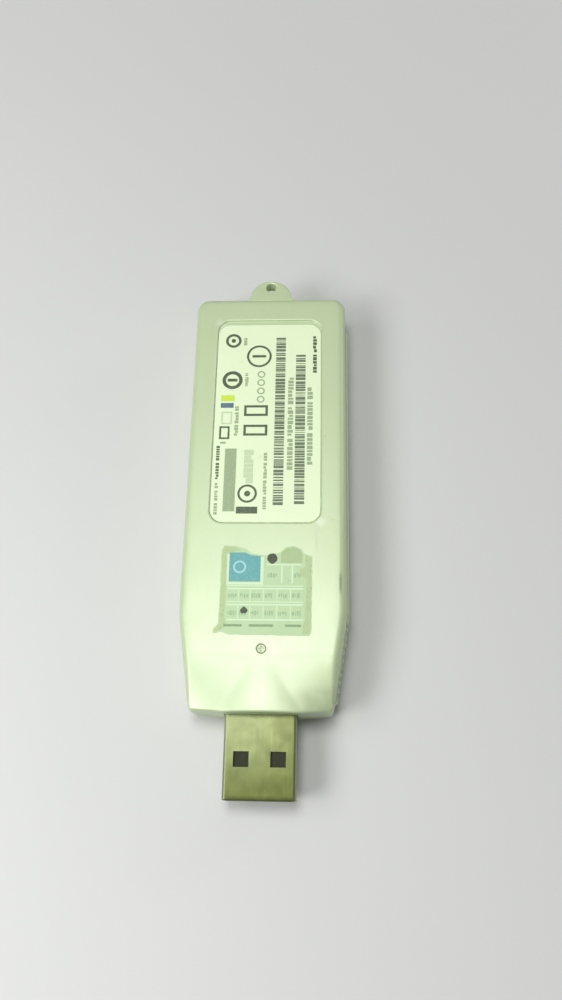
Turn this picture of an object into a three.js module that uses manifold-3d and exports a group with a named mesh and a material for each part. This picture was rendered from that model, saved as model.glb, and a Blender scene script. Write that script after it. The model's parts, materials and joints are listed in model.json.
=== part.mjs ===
// A USB Wi-Fi adapter, as an assembly of separate pieces: two case shells, a USB-A plug, a circuit
// board with its components and radio shield, a light pipe, one screw and two stickers.
//
// Units are millimetres. X runs across the body, Y along it with the plug towards -Y, and Z is up
// with the label side on top. The origin is the centre of the footprint, on the resting plane.
import * as THREE from "three";
import { mergeVertices } from "three/addons/utils/BufferGeometryUtils.js";
import Module from "manifold-3d";

// ---- Driving dimensions ----

// USB-A plug: the outside of its sheet-metal shell, and how much of it stands out of the body.
// The part held in the body is smaller by `waist` on every side.
const PLUG = {
  width: 12.0,
  height: 4.5,
  exposed: 13.4,
  inside: 5.4,
  sheet: 0.3,
  corner: 0.55,
  waist: 0.05,
};
// Plastic body without plug and lug.
const BODY = { length: 79.4, width: 29.0, thickness: 10.6, wall: 1.2, edge: 1.5, seamGap: 0.1 };
// The plug end narrows over `taper`; its end face is flat over `flat` and swept back at the corners.
const NOSE = { taper: 16.6, width: 24.2, flat: 12.6, sweep: 0.4, corner: 0.9 };
// Fairing over the plug: the faces sink by `drop` towards the plug end, and a cone stays level.
const FAIRING = { length: 9.4, drop: 0.8 };
const LUG = { reach: 3.8, radius: 4.0, holeRadius: 0.95, holeReach: 2.3, thickness: 2.6, step: 0.25 };
// Grip rail along both flanks of the front cover, ribbed where the body narrows.
const RAIL = { proud: 0.4, low: 0.15, bottom: 2.0, rearStop: 5.0, ribPitch: 1.3, ribWidth: 0.6, ribs: 10 };
const POCKET = { width: 20.0, length: 41.4, rear: 5.3, corner: 2.6, depth: 0.35 };
const LABEL = { margin: 0.2, rearMargin: 0.9, thickness: 0.12, corner: 2.3 };
const STICKER = { width: 15.4, length: 15.4, rear: 51.0, shift: 0.5, thickness: 0.1 };
const SCREW = { reach: 10.5, headRadius: 0.78, headHeight: 0.5, sunk: 0.12, shankRadius: 0.55, length: 6.2 };
const BOARD = { thickness: 0.8, clearance: 1.9, neckWidth: 13.8, neckLength: 6.7, endGap: 0.5 };
const SEAT = 0.02; // film of solder or glue under a piece that sits on another
const FIT = 0.1; // clearance between a piece and the opening it passes through
const SLIVER = 0.002; // edges shorter than this, left by joins and cuts, are closed up

// ---- Places worked out from them ----

const OVERALL = PLUG.exposed + BODY.length + LUG.reach;
const TIP_Y = -OVERALL / 2;
const FRONT_Y = TIP_Y + PLUG.exposed;
const REAR_Y = FRONT_Y + BODY.length;
const TOP_Z = BODY.thickness;
const SEAM_Z = BODY.thickness / 2;
const APEX_Y = FRONT_Y + FAIRING.length;
const PLUG_REAR_Y = FRONT_Y + PLUG.inside;
const PLUG_TOP_Z = SEAM_Z + PLUG.height / 2;
const PLUG_BOTTOM_Z = SEAM_Z - PLUG.height / 2;
const BOARD_LOW_Z = PLUG_TOP_Z + 0.05;
const BOARD_HIGH_Z = BOARD_LOW_Z + BOARD.thickness;
const NECK_REAR_Y = FRONT_Y + BODY.wall + BOARD.endGap + BOARD.neckLength;
const SCREW_Y = FRONT_Y + SCREW.reach;
const LED_Y = REAR_Y - 11;
const POSTS = [
  [11.0, REAR_Y - 11],
  [-11.0, REAR_Y - 11],
  [10.4, SCREW_Y + 0.8],
  [-10.4, SCREW_Y + 0.8],
];

// ---- Materials ----

const finish = (color, roughness, metalness = 0) =>
  new THREE.MeshStandardMaterial({ color, roughness, metalness });
const MATERIAL = {
  silverPlastic: finish(0xd3dabb, 0.42, 0.25),
  plugSteel: finish(0xa9ab86, 0.35, 0.9),
  blackPlastic: finish(0x17181a, 0.55),
  gold: finish(0xd8b25a, 0.3, 1.0),
  labelPaper: finish(0xf2f7e6, 0.5),
  stickerFilm: finish(0xb9c9a6, 0.6),
  screwSteel: finish(0x8d8f86, 0.35, 1.0),
  clearPlastic: finish(0xdfe8e2, 0.15),
  solderMask: finish(0x1d5a35, 0.45),
  shieldTin: finish(0xc3c6c4, 0.35, 1.0),
  chipResin: finish(0x1c1c1e, 0.6),
  ceramic: finish(0xe8e4d8, 0.5),
  capacitorTan: finish(0xb99563, 0.55),
  tantalumYellow: finish(0xd8a43a, 0.5),
  ferrite: finish(0x3a3a3c, 0.7),
};

// ---- Shaping helpers ----

const wasm = await Module();
wasm.setup();

// A closed geometry as a manifold-3d solid.
function solid(geometry) {
  const bare = new THREE.BufferGeometry();
  bare.setAttribute("position", geometry.getAttribute("position"));
  bare.setIndex(geometry.index);
  const merged = mergeVertices(bare, 1e-4);
  return new wasm.Manifold(
    new wasm.Mesh({
      numProp: 3,
      vertProperties: merged.attributes.position.array,
      triVerts: new Uint32Array(merged.index.array),
    }),
  );
}

function geometryOf(manifold) {
  const cut = manifold.simplify(SLIVER).getMesh();
  const geometry = new THREE.BufferGeometry();
  geometry.setAttribute("position", new THREE.BufferAttribute(cut.vertProperties, 3));
  geometry.setIndex(new THREE.BufferAttribute(cut.triVerts, 1));
  const flat = geometry.toNonIndexed();
  flat.computeVertexNormals();
  return flat;
}

// A solid box between two corners.
function block(x0, x1, y0, y1, z0, z1) {
  const box = new THREE.BoxGeometry(x1 - x0, y1 - y0, z1 - z0);
  return solid(box.translate((x0 + x1) / 2, (y0 + y1) / 2, (z0 + z1) / 2));
}

// An upright cylinder between two heights.
function post(x, y, z0, z1, radius, segments = 16) {
  const cylinder = new THREE.CylinderGeometry(radius, radius, z1 - z0, segments);
  return solid(cylinder.rotateX(Math.PI / 2).translate(x, y, (z0 + z1) / 2));
}

// A flat shape in XY, pushed up from z0 to z1.
function plate(shape, z0, z1, curveSegments = 6) {
  const options = { depth: z1 - z0, bevelEnabled: false, curveSegments };
  return solid(new THREE.ExtrudeGeometry(shape, options).translate(0, 0, z0));
}

// A profile of [y, z] points, drawn anticlockwise as seen from +X, pushed across from x0 to x1.
function acrossX(profile, x0, x1) {
  const shape = new THREE.Shape(profile.map(([y, z]) => new THREE.Vector2(y, z)));
  const geometry = new THREE.ExtrudeGeometry(shape, { depth: x1 - x0, bevelEnabled: false });
  const turn = new THREE.Matrix4().makeBasis(
    new THREE.Vector3(0, 1, 0),
    new THREE.Vector3(0, 0, 1),
    new THREE.Vector3(1, 0, 0),
  );
  return solid(geometry.applyMatrix4(turn).translate(x0, 0, 0));
}

// A rectangle with round corners, centred on x, y.
function roundedRectangle(width, length, corner, x = 0, y = 0) {
  const w = width / 2;
  const l = length / 2;
  const shape = new THREE.Shape();
  shape.moveTo(x - w + corner, y - l);
  shape.absarc(x + w - corner, y - l + corner, corner, -Math.PI / 2, 0);
  shape.absarc(x + w - corner, y + l - corner, corner, 0, Math.PI / 2);
  shape.absarc(x - w + corner, y + l - corner, corner, Math.PI / 2, Math.PI);
  shape.absarc(x - w + corner, y - l + corner, corner, Math.PI, 1.5 * Math.PI);
  return shape;
}

// Rings of points, one above the other and all with the same count, closed into one skin.
function loft(rings) {
  const count = rings[0].length;
  const positions = rings.flat().flatMap((p) => [p.x, p.y, p.z]);
  const index = [];
  for (let k = 0; k + 1 < rings.length; k++)
    for (let i = 0; i < count; i++) {
      const j = (i + 1) % count;
      const [a, b, c, d] = [k * count + i, k * count + j, (k + 1) * count + j, (k + 1) * count + i];
      index.push(a, b, c, a, c, d);
    }
  const last = (rings.length - 1) * count;
  for (const [a, b, c] of THREE.ShapeUtils.triangulateShape(rings[0], [])) {
    index.push(a, c, b);
    index.push(last + a, last + b, last + c);
  }
  const geometry = new THREE.BufferGeometry();
  geometry.setAttribute("position", new THREE.Float32BufferAttribute(positions, 3));
  geometry.setIndex(index);
  return solid(geometry);
}

const union = (first, ...others) => others.reduce((sum, next) => sum.add(next), first);
const without = (first, ...cuts) => cuts.reduce((rest, cut) => rest.subtract(cut), first);

function piece(name, material, shape, parent) {
  const geometry = shape.isBufferGeometry ? shape : geometryOf(shape);
  const mesh = new THREE.Mesh(geometry, material);
  mesh.name = name;
  parent.add(mesh);
  return mesh;
}

// ---- Body outline ----

// Corners of the right half of the body, anticlockwise: x, y, corner radius and arc segments.
const HALF_OUTLINE = [
  [NOSE.flat / 2, FRONT_Y, 3.0, 2],
  [NOSE.width / 2, FRONT_Y + NOSE.sweep, NOSE.corner, 4],
  [BODY.width / 2, FRONT_Y + NOSE.taper, 22.0, 5],
  [BODY.width / 2, REAR_Y, 2.5, 5],
];
const OUTLINE = [
  ...HALF_OUTLINE,
  ...HALF_OUTLINE.toReversed().map(([x, y, radius, steps]) => [-x, y, radius, steps]),
];

// The body's outline moved inwards by `inset`, at height z.
function outlineRing(inset, z = 0) {
  return OUTLINE.flatMap(([x, y, radius, steps], i) => {
    const corner = new THREE.Vector2(x, y);
    const [px, py] = OUTLINE.at(i - 1);
    const [nx, ny] = OUTLINE[(i + 1) % OUTLINE.length];
    const back = new THREE.Vector2(px, py).sub(corner).normalize();
    const ahead = new THREE.Vector2(nx, ny).sub(corner).normalize();
    const halfAngle = Math.acos(back.dot(ahead)) / 2;
    const inward = back.clone().add(ahead).normalize();
    const bend = Math.max(radius - inset, 0.1);
    const centre = corner.clone().addScaledVector(inward, (inset + bend) / Math.sin(halfAngle));
    const middle = inward.negate().angle();
    const sweep = Math.PI / 2 - halfAngle;
    return Array.from({ length: steps + 1 }, (_, k) => {
      const angle = middle + sweep * ((2 * k) / steps - 1);
      return new THREE.Vector3(
        centre.x + bend * Math.cos(angle),
        centre.y + bend * Math.sin(angle),
        z,
      );
    });
  });
}

const outlinePrism = (inset, z0, z1) => loft([outlineRing(inset, z0), outlineRing(inset, z1)]);

// The wedge that sinks one face towards the plug end. `level` is the face's height at the apex.
function noseWedge(level, side) {
  const past = 2;
  const fall = (FAIRING.drop * (FAIRING.length + past)) / FAIRING.length;
  const profile = [
    [FRONT_Y - past, level - side * fall],
    [APEX_Y, level],
    [APEX_Y, level + side * past],
    [FRONT_Y - past, level + side * past],
  ];
  return acrossX(side > 0 ? profile : profile.toReversed(), -BODY.width, BODY.width);
}

// The fairing over the plug on the label side: a half-cone from the apex to an arc at the end face.
function fairing() {
  const steps = 10;
  const half = NOSE.flat / 2;
  const radius = (half ** 2 + FAIRING.drop ** 2) / (2 * FAIRING.drop);
  const spread = Math.asin(half / radius);
  const arc = Array.from({ length: steps + 1 }, (_, k) => {
    const angle = spread * ((2 * k) / steps - 1);
    const sag = radius * (1 - Math.cos(angle));
    return new THREE.Vector3(radius * Math.sin(angle), FRONT_Y, TOP_Z - sag);
  });
  const rootZ = TOP_Z - FAIRING.drop - 1;
  const rim = [
    new THREE.Vector3(-half, FRONT_Y, rootZ),
    ...arc,
    new THREE.Vector3(half, FRONT_Y, rootZ),
  ];
  const positions = [new THREE.Vector3(0, APEX_Y, TOP_Z), ...rim].flatMap((p) => [p.x, p.y, p.z]);
  const index = [];
  rim.forEach((_, i) => {
    const j = (i + 1) % rim.length;
    index.push(0, i + 1, j + 1);
    if (i > 0 && j > 0) index.push(1, j + 1, i + 1);
  });
  const geometry = new THREE.BufferGeometry();
  geometry.setAttribute("position", new THREE.Float32BufferAttribute(positions, 3));
  geometry.setIndex(index);
  return solid(geometry);
}

// The whole body as one lump, with round edges on both faces.
function bodyLump() {
  const steps = 4;
  const rings = [];
  for (let k = 0; k <= steps; k++) {
    const angle = (k / steps) * (Math.PI / 2);
    const inset = BODY.edge * (1 - Math.sin(angle));
    rings.push(outlineRing(inset, BODY.edge * (1 - Math.cos(angle))));
  }
  const upper = rings
    .toReversed()
    .map((ring) => ring.map((p) => new THREE.Vector3(p.x, p.y, TOP_Z - p.z)));
  const lump = loft([...rings, ...upper]);
  const sunk = without(lump, noseWedge(TOP_Z, 1), noseWedge(0, -1));
  const raised = fairing().intersect(lump);
  return union(sunk, raised, raised.mirror([0, 0, 1]).translate([0, 0, TOP_Z]));
}

// The hollow inside both shells, with room for the board's neck over the plug.
function bodyHollow() {
  const room = outlinePrism(BODY.wall, BODY.wall, TOP_Z - BODY.wall);
  const tapered = without(
    room,
    noseWedge(TOP_Z - BODY.wall, 1),
    noseWedge(BODY.wall, -1),
  );
  const half = BOARD.neckWidth / 2 + 0.2;
  const neck = block(-half, half, FRONT_Y + BODY.wall, APEX_Y + 1, SEAM_Z, BOARD_HIGH_Z + 0.25);
  return tapered.add(neck);
}

// The opening in the end wall that the plug passes through.
function plugOpening() {
  const half = PLUG.width / 2 + FIT;
  return block(-half, half, FRONT_Y - 3, FRONT_Y + 3, PLUG_BOTTOM_Z - FIT, PLUG_TOP_Z + FIT);
}

// ---- Case ----

function lugShape() {
  const centreY = REAR_Y + LUG.reach - LUG.radius;
  const shape = new THREE.Shape();
  shape.moveTo(-LUG.radius, REAR_Y - BODY.wall);
  shape.lineTo(LUG.radius, REAR_Y - BODY.wall);
  shape.lineTo(LUG.radius, centreY);
  shape.absarc(0, centreY, LUG.radius, 0, Math.PI);
  const hole = new THREE.Path();
  hole.absarc(0, REAR_Y + LUG.holeReach, LUG.holeRadius, 0, 2 * Math.PI, true);
  shape.holes.push(hole);
  return shape;
}

function addBackCover(parent) {
  const upper = block(-20, 20, -60, 60, SEAM_Z + BODY.seamGap / 2, TOP_Z + 5);
  const shell = without(bodyLump().intersect(upper), bodyHollow(), plugOpening());
  const pocketY = REAR_Y - POCKET.rear - POCKET.length / 2;
  const pocket = roundedRectangle(POCKET.width, POCKET.length, POCKET.corner, 0, pocketY);
  const lugTop = TOP_Z - LUG.step;
  const ceiling = TOP_Z - BODY.wall - 0.2;
  const pads = POSTS.map(([x, y]) => post(x, y, BOARD_HIGH_Z + SEAT, ceiling + 0.4, 1.1, 10));
  const boss = post(0, SCREW_Y, BOARD_HIGH_Z + SEAT, ceiling + 0.4, 1.9);
  const whole = union(shell, plate(lugShape(), lugTop - LUG.thickness, lugTop, 12), boss, ...pads);
  const seatZ = TOP_Z - SCREW.sunk - SCREW.headHeight;
  const cover = without(
    whole,
    plate(pocket, TOP_Z - POCKET.depth, TOP_Z + 1),
    post(0, SCREW_Y, seatZ - SEAT, TOP_Z + 1, SCREW.headRadius + FIT),
    post(0, SCREW_Y, SEAM_Z, TOP_Z + 1, SCREW.shankRadius + FIT, 12),
  );
  piece("back_cover", MATERIAL.silverPlastic, cover, parent);
}

// The rails along both flanks: a band outside the body, with grooves between the ribs at the nose.
function rails(top) {
  const inside = outlinePrism(BODY.wall / 2, RAIL.bottom - 1, top + 1);
  const band = outlinePrism(-RAIL.proud, RAIL.bottom, top).subtract(inside);
  const keep = NOSE.flat / 2 + 3;
  const ends = block(-20, 20, FRONT_Y + 2.2, REAR_Y - RAIL.rearStop, 0, TOP_Z);
  const firstY = FRONT_Y + 3 + RAIL.ribWidth;
  const gap = RAIL.ribPitch - RAIL.ribWidth;
  const gaps = Array.from({ length: RAIL.ribs }, (_, k) => {
    const y = firstY + RAIL.ribPitch * k;
    return block(-20, 20, y, y + gap, 0, TOP_Z);
  });
  const grooves = union(...gaps).subtract(outlinePrism(-RAIL.low, -1, TOP_Z + 1));
  return band.intersect(ends).subtract(block(-keep, keep, -60, 60, 0, TOP_Z)).subtract(grooves);
}

function addFrontCover(parent) {
  const rimZ = SEAM_Z - BODY.seamGap / 2;
  const lower = block(-20, 20, -60, 60, -5, rimZ);
  const shell = bodyLump().intersect(lower).subtract(bodyHollow());
  const lip = without(
    outlinePrism(BODY.wall - 0.1, SEAM_Z - 1.2, SEAM_Z - 0.5),
    outlinePrism(BODY.wall + 0.6, SEAM_Z - 2, SEAM_Z + 2),
  );
  const tongue = without(
    outlinePrism(BODY.wall + 0.08, SEAM_Z - 0.8, SEAM_Z + 0.8),
    outlinePrism(BODY.wall + 0.55, SEAM_Z - 2, SEAM_Z + 2),
  );
  const floor = BODY.wall - 0.2;
  const posts = POSTS.map(([x, y]) => post(x, y, floor, BOARD_LOW_Z - SEAT, 1.1, 10));
  const boss = post(0, SCREW_Y, floor, BOARD_LOW_Z - SEAT, 1.9);
  const saddle = [-5.4, 4.2].map((x) =>
    block(x, x + 1.2, FRONT_Y + 0.5, PLUG_REAR_Y, floor, PLUG_BOTTOM_Z - SEAT),
  );
  const whole = union(shell, lip, tongue, rails(rimZ), boss, ...posts, ...saddle);
  const window = roundedRectangle(
    LIGHT_PIPE.width + 2 * FIT,
    LIGHT_PIPE.length + 2 * FIT,
    LIGHT_PIPE.width / 2,
    0,
    LED_Y,
  );
  const cover = without(
    whole,
    plugOpening(),
    plate(window, -1, BODY.wall + 1),
    post(0, SCREW_Y, BODY.wall + 1.5, SEAM_Z + 5, SCREW.shankRadius - 0.1 + FIT, 12),
  );
  piece("front_cover", MATERIAL.silverPlastic, cover, parent);
}

const LIGHT_PIPE = { width: 1.7, length: 3.9, flange: 0.8, flangeHeight: 0.6 };

// A clear bar that carries the status light to the outside of the front cover.
function addLightPipe(parent) {
  const { width, length, flange, flangeHeight } = LIGHT_PIPE;
  const bar = roundedRectangle(width, length, width / 2 - 0.01, 0, LED_Y);
  const wide = width + 2 * flange;
  const collar = roundedRectangle(wide, length + 2 * flange, 1.0, 0, LED_Y);
  const foot = BODY.wall + SEAT;
  const pipe = union(
    plate(bar, 0.05, BOARD_LOW_Z - 1.2),
    plate(collar, foot, foot + flangeHeight),
  );
  piece("led_light_pipe", MATERIAL.clearPlastic, pipe, parent);
}

// A small pan-head screw with a cross recess.
function addScrew(parent) {
  const { headRadius, headHeight, shankRadius, length } = SCREW;
  const profile = [
    [0, -length],
    [shankRadius * 0.4, -length],
    [shankRadius - 0.15, -length + 0.6],
    [shankRadius - 0.15, 0],
    [headRadius, 0],
    [headRadius, headHeight * 0.8],
    [headRadius * 0.86, headHeight],
    [0, headHeight],
  ].map(([radius, z]) => new THREE.Vector2(radius, z));
  const body = solid(new THREE.LatheGeometry(profile, 16).rotateX(Math.PI / 2));
  const slotHalf = 0.12;
  const slotReach = headRadius * 0.6;
  const recess = union(
    block(-slotReach, slotReach, -slotHalf, slotHalf, headHeight - 0.25, headHeight + 1),
    block(-slotHalf, slotHalf, -slotReach, slotReach, headHeight - 0.25, headHeight + 1),
  );
  const screw = piece("case_screw", MATERIAL.screwSteel, body.subtract(recess), parent);
  screw.position.set(0, SCREW_Y, TOP_Z - SCREW.sunk - headHeight);
}

function addLabel(parent) {
  const width = POCKET.width - 2 * LABEL.margin;
  const length = POCKET.length - LABEL.margin - LABEL.rearMargin;
  const y = REAR_Y - POCKET.rear - LABEL.rearMargin - length / 2;
  const shape = roundedRectangle(width, length, LABEL.corner, 0, y);
  const z = TOP_Z - POCKET.depth + SEAT;
  piece("rating_label", MATERIAL.labelPaper, plate(shape, z, z + LABEL.thickness), parent);
}

// The second sticker: its rear edge is torn in a wave, and its front corners are ragged.
function addSticker(parent) {
  const half = STICKER.width / 2;
  const rear = REAR_Y - STICKER.rear;
  const front = rear - STICKER.length;
  const shape = new THREE.Shape();
  shape.moveTo(-half - 0.6, front + 0.3);
  shape.lineTo(-half + 0.1, front);
  shape.lineTo(half - 0.1, front);
  shape.lineTo(half, front + 0.6);
  shape.lineTo(half, rear - 1.5);
  shape.lineTo(half - 1.4, rear - 1.4);
  shape.quadraticCurveTo(half - 2.6, rear + 0.4, half - 4.6, rear - 0.5);
  shape.lineTo(half - 6.4, rear - 1.1);
  shape.quadraticCurveTo(-1.2, rear - 1.7, -half + 3.8, rear - 0.7);
  shape.lineTo(-half + 2.2, rear);
  shape.lineTo(-half + 0.4, rear);
  shape.lineTo(-half, rear - 1.0);
  shape.closePath();
  const z = TOP_Z + SEAT;
  const film = plate(shape, z, z + STICKER.thickness, 3);
  const sticker = piece("approval_sticker", MATERIAL.stickerFilm, film, parent);
  sticker.position.x = STICKER.shift;
}

// ---- USB-A plug ----

const TONGUE = { thickness: 1.85, setback: 0.5, cavity: 12.0, gap: 0.05 };
const CONTACT = { width: 1.0, thickness: 0.22, grooveDepth: 0.3, tailReach: 0.5, foot: 1.3 };
const CONTACTS = [
  ["contact_vbus", 3.5, 1.6],
  ["contact_data_minus", 1.0, 2.6],
  ["contact_data_plus", -1.0, 2.6],
  ["contact_ground", -3.5, 1.6],
];
// Where the host port's springs latch into the shell, on both faces.
const LATCH_HOLE = { width: 2.5, length: 2.4, spread: 3.05, reach: 6.35 };

// A shape drawn in the XZ plane, pushed along Y from y0 to y1.
function alongY(shape, y0, y1) {
  const geometry = new THREE.ExtrudeGeometry(shape, {
    depth: y1 - y0,
    bevelEnabled: false,
    curveSegments: 4,
  });
  return solid(geometry.rotateX(Math.PI / 2).translate(0, y1, SEAM_Z));
}

function addPlugShell(parent) {
  const { width, height, sheet, corner, waist } = PLUG;
  const outside = roundedRectangle(width, height, corner);
  const held = roundedRectangle(width - 2 * waist, height - 2 * waist, corner - waist);
  const inside = roundedRectangle(width - 2 * sheet, height - 2 * sheet, corner - sheet);
  const tube = alongY(outside, TIP_Y, FRONT_Y + 0.1)
    .add(alongY(held, FRONT_Y, PLUG_REAR_Y))
    .subtract(alongY(inside, TIP_Y - 1, PLUG_REAR_Y + 1));
  const holeY = TIP_Y + LATCH_HOLE.reach;
  const holes = [-1, 1].map((side) => {
    const x = side * LATCH_HOLE.spread;
    const [w, l] = [LATCH_HOLE.width / 2, LATCH_HOLE.length / 2];
    return block(x - w, x + w, holeY - l, holeY + l, 0, TOP_Z);
  });
  const legs = [-1, 1].map((side) => {
    const edges = [width / 2 - sheet, width / 2 - waist].map((x) => side * x);
    const [near, far] = edges.sort((a, b) => a - b);
    return block(near, far, PLUG_REAR_Y - 3.2, PLUG_REAR_Y - 1.4, SEAM_Z, BOARD_HIGH_Z + 0.1);
  });
  const shell = union(without(tube, ...holes), ...legs);
  piece("plug_shell", MATERIAL.plugSteel, shell, parent);
}

// The black core: a tongue against the label-side sheet, and a block that closes the shell's rear.
function addPlugInsulator(parent) {
  const half = PLUG.width / 2 - PLUG.sheet - TONGUE.gap;
  const top = PLUG_TOP_Z - PLUG.sheet - TONGUE.gap;
  const bottom = PLUG_BOTTOM_Z + PLUG.sheet + TONGUE.gap;
  const face = top - TONGUE.thickness;
  const blockY = TIP_Y + TONGUE.cavity;
  const bore = alongY(roundedRectangle(2 * half, top - bottom, PLUG.corner), TIP_Y, PLUG_REAR_Y);
  const core = union(
    block(-half, half, TIP_Y + TONGUE.setback, PLUG_REAR_Y - 0.2, face, top),
    block(-half, half, blockY, PLUG_REAR_Y - 0.2, bottom, top),
  ).intersect(bore);
  const grooves = CONTACTS.map(([, x, start]) => {
    const w = CONTACT.width / 2 + 0.05;
    const y = TIP_Y + start - 0.1;
    return block(x - w, x + w, y, PLUG_REAR_Y, face - 0.05, face + CONTACT.grooveDepth);
  });
  const mouth = TIP_Y + TONGUE.setback;
  const chamfer = acrossX(
    [
      [mouth - 0.1, face - 0.1],
      [mouth + 0.7, face - 0.1],
      [mouth - 0.1, face + 0.5],
    ],
    -half - 1,
    half + 1,
  );
  piece("plug_insulator", MATERIAL.blackPlastic, without(core, ...grooves, chamfer), parent);
}

// A gold strip along the tongue, bent up behind the plug to a foot soldered under the board.
function addContacts(parent) {
  const face = PLUG_TOP_Z - PLUG.sheet - TONGUE.gap - TONGUE.thickness;
  const low = face + 0.04;
  const high = low + CONTACT.thickness;
  const bendY = PLUG_REAR_Y + CONTACT.tailReach;
  const footY = bendY + CONTACT.foot;
  const footTop = BOARD_LOW_Z - SEAT;
  const footLow = footTop - CONTACT.thickness;
  for (const [name, x, start] of CONTACTS) {
    const profile = [
      [TIP_Y + start, low],
      [bendY + CONTACT.thickness, low],
      [bendY + CONTACT.thickness, footLow],
      [footY, footLow],
      [footY, footTop],
      [bendY, footTop],
      [bendY, high],
      [TIP_Y + start, high],
    ];
    const strip = acrossX(profile, x - CONTACT.width / 2, x + CONTACT.width / 2);
    piece(name, MATERIAL.gold, strip, parent);
  }
}

// ---- Circuit board ----

// The board's component side faces the front cover, so this group is turned over about Y: inside
// it, z counts from the board's face towards the front cover.
function boardGroup(parent) {
  const group = new THREE.Group();
  group.position.set(0, 0, BOARD_LOW_Z - SEAT);
  group.rotation.y = Math.PI;
  parent.add(group);
  return group;
}

function addMainBoard(parent) {
  const half = BOARD.neckWidth / 2;
  const neckFrontY = FRONT_Y + BODY.wall + BOARD.endGap;
  const sheet = outlinePrism(BOARD.clearance, BOARD_LOW_Z, BOARD_HIGH_Z);
  const wide = sheet.subtract(block(-20, 20, -60, NECK_REAR_Y, 0, 20));
  const neck = block(-half, half, neckFrontY, NECK_REAR_Y + 1, BOARD_LOW_Z, BOARD_HIGH_Z);
  const legSlots = [-1, 1].map((side) => {
    const x = side * (PLUG.width / 2 - PLUG.sheet / 2);
    return block(x - 0.3, x + 0.3, PLUG_REAR_Y - 3.4, PLUG_REAR_Y - 1.2, 0, 20);
  });
  const board = without(union(wide, neck), post(0, SCREW_Y, 0, 20, 1.0, 12), ...legSlots);
  piece("main_board", MATERIAL.solderMask, board, parent);
}

// A flat chip with a pin-one dimple.
function chipSolid(width, length, height) {
  const body = block(-width / 2, width / 2, -length / 2, length / 2, 0, height);
  const radius = Math.min(width, length) * 0.07;
  const inset = Math.min(width, length) * 0.16;
  const [x, y] = [inset - width / 2, length / 2 - inset];
  return body.subtract(post(x, y, height - 0.08, height + 1, radius, 8));
}

// One bent lead that leaves a package at x = edge and lands `reach` further out.
function gullLead(edge, reach, y, width, height) {
  const t = 0.18;
  const profile = [
    [edge - 0.3, height],
    [edge + reach * 0.45, height],
    [edge + reach * 0.45, t],
    [edge + reach, t],
    [edge + reach, 0],
    [edge + reach * 0.45 - t, 0],
    [edge + reach * 0.45 - t, height - t],
    [edge - 0.3, height - t],
  ];
  const shape = new THREE.Shape(profile.toReversed().map(([x, z]) => new THREE.Vector2(x, z)));
  const geometry = new THREE.ExtrudeGeometry(shape, { depth: width, bevelEnabled: false });
  return solid(geometry.rotateX(Math.PI / 2).translate(0, y + width / 2, 0));
}

// A package with leads on both long sides: `left` and `right` hold each lead's y and width.
function leadedSolid({ width, length, height, reach, left, right }) {
  const body = block(-width / 2, width / 2, -length / 2, length / 2, 0.12, height);
  const leadHeight = height * 0.55;
  const rights = right.map(([y, w]) => gullLead(width / 2, reach, y, w, leadHeight));
  const lefts = left.map(([y, w]) =>
    gullLead(width / 2, reach, -y, w, leadHeight).rotate([0, 0, 180]),
  );
  return union(body, ...rights, ...lefts);
}

// A block with a metal cap at both ends, slightly larger than the block.
function cappedSolid(length, width, height, cap) {
  const [l, w] = [length / 2, width / 2];
  const core = block(-l + cap / 2, l - cap / 2, -w + 0.04, w - 0.04, 0.03, height - 0.04);
  return union(core, block(-l, -l + cap, -w, w, 0, height), block(l - cap, l, -w, w, 0, height));
}

function place(mesh, x, y, turned = false) {
  mesh.position.set(x, y, 0);
  if (turned) mesh.rotation.z = Math.PI / 2;
}

const evenly = (count, pitch, width) =>
  Array.from({ length: count }, (_, k) => [(k - (count - 1) / 2) * pitch, width]);

function addPowerParts(board) {
  const bead = piece("vbus_ferrite_bead", MATERIAL.ferrite, cappedSolid(3.2, 1.6, 1.1, 0.5), board);
  place(bead, 6.9, SCREW_Y + 0.4, true);
  const choke = piece("data_line_choke", MATERIAL.ferrite, cappedSolid(2.0, 1.25, 1.2, 0.45), board);
  place(choke, 0, SCREW_Y + 4.2);
  const inputCap = cappedSolid(3.5, 2.8, 1.9, 0.35);
  place(piece("input_capacitor", MATERIAL.tantalumYellow, inputCap, board), 7.8, SCREW_Y + 5.6);
  const outputCap = cappedSolid(3.2, 1.6, 1.6, 0.35);
  place(piece("output_capacitor", MATERIAL.tantalumYellow, outputCap, board), 8.4, SCREW_Y + 10.6);
  const regulator = leadedSolid({
    width: 3.5,
    length: 6.5,
    height: 1.6,
    reach: 1.75,
    left: [[0, 3.0]],
    right: evenly(3, 2.3, 0.7),
  });
  place(piece("main_regulator", MATERIAL.chipResin, regulator, board), -6.9, SCREW_Y + 5.9);
  const coreRegulator = leadedSolid({
    width: 1.6,
    length: 2.9,
    height: 1.1,
    reach: 0.6,
    left: evenly(2, 1.9, 0.4),
    right: evenly(3, 0.95, 0.4),
  });
  place(piece("core_regulator", MATERIAL.chipResin, coreRegulator, board), -8.6, SCREW_Y + 12.4);
}

const BASEBAND_Y = SCREW_Y + 16.4;

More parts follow.
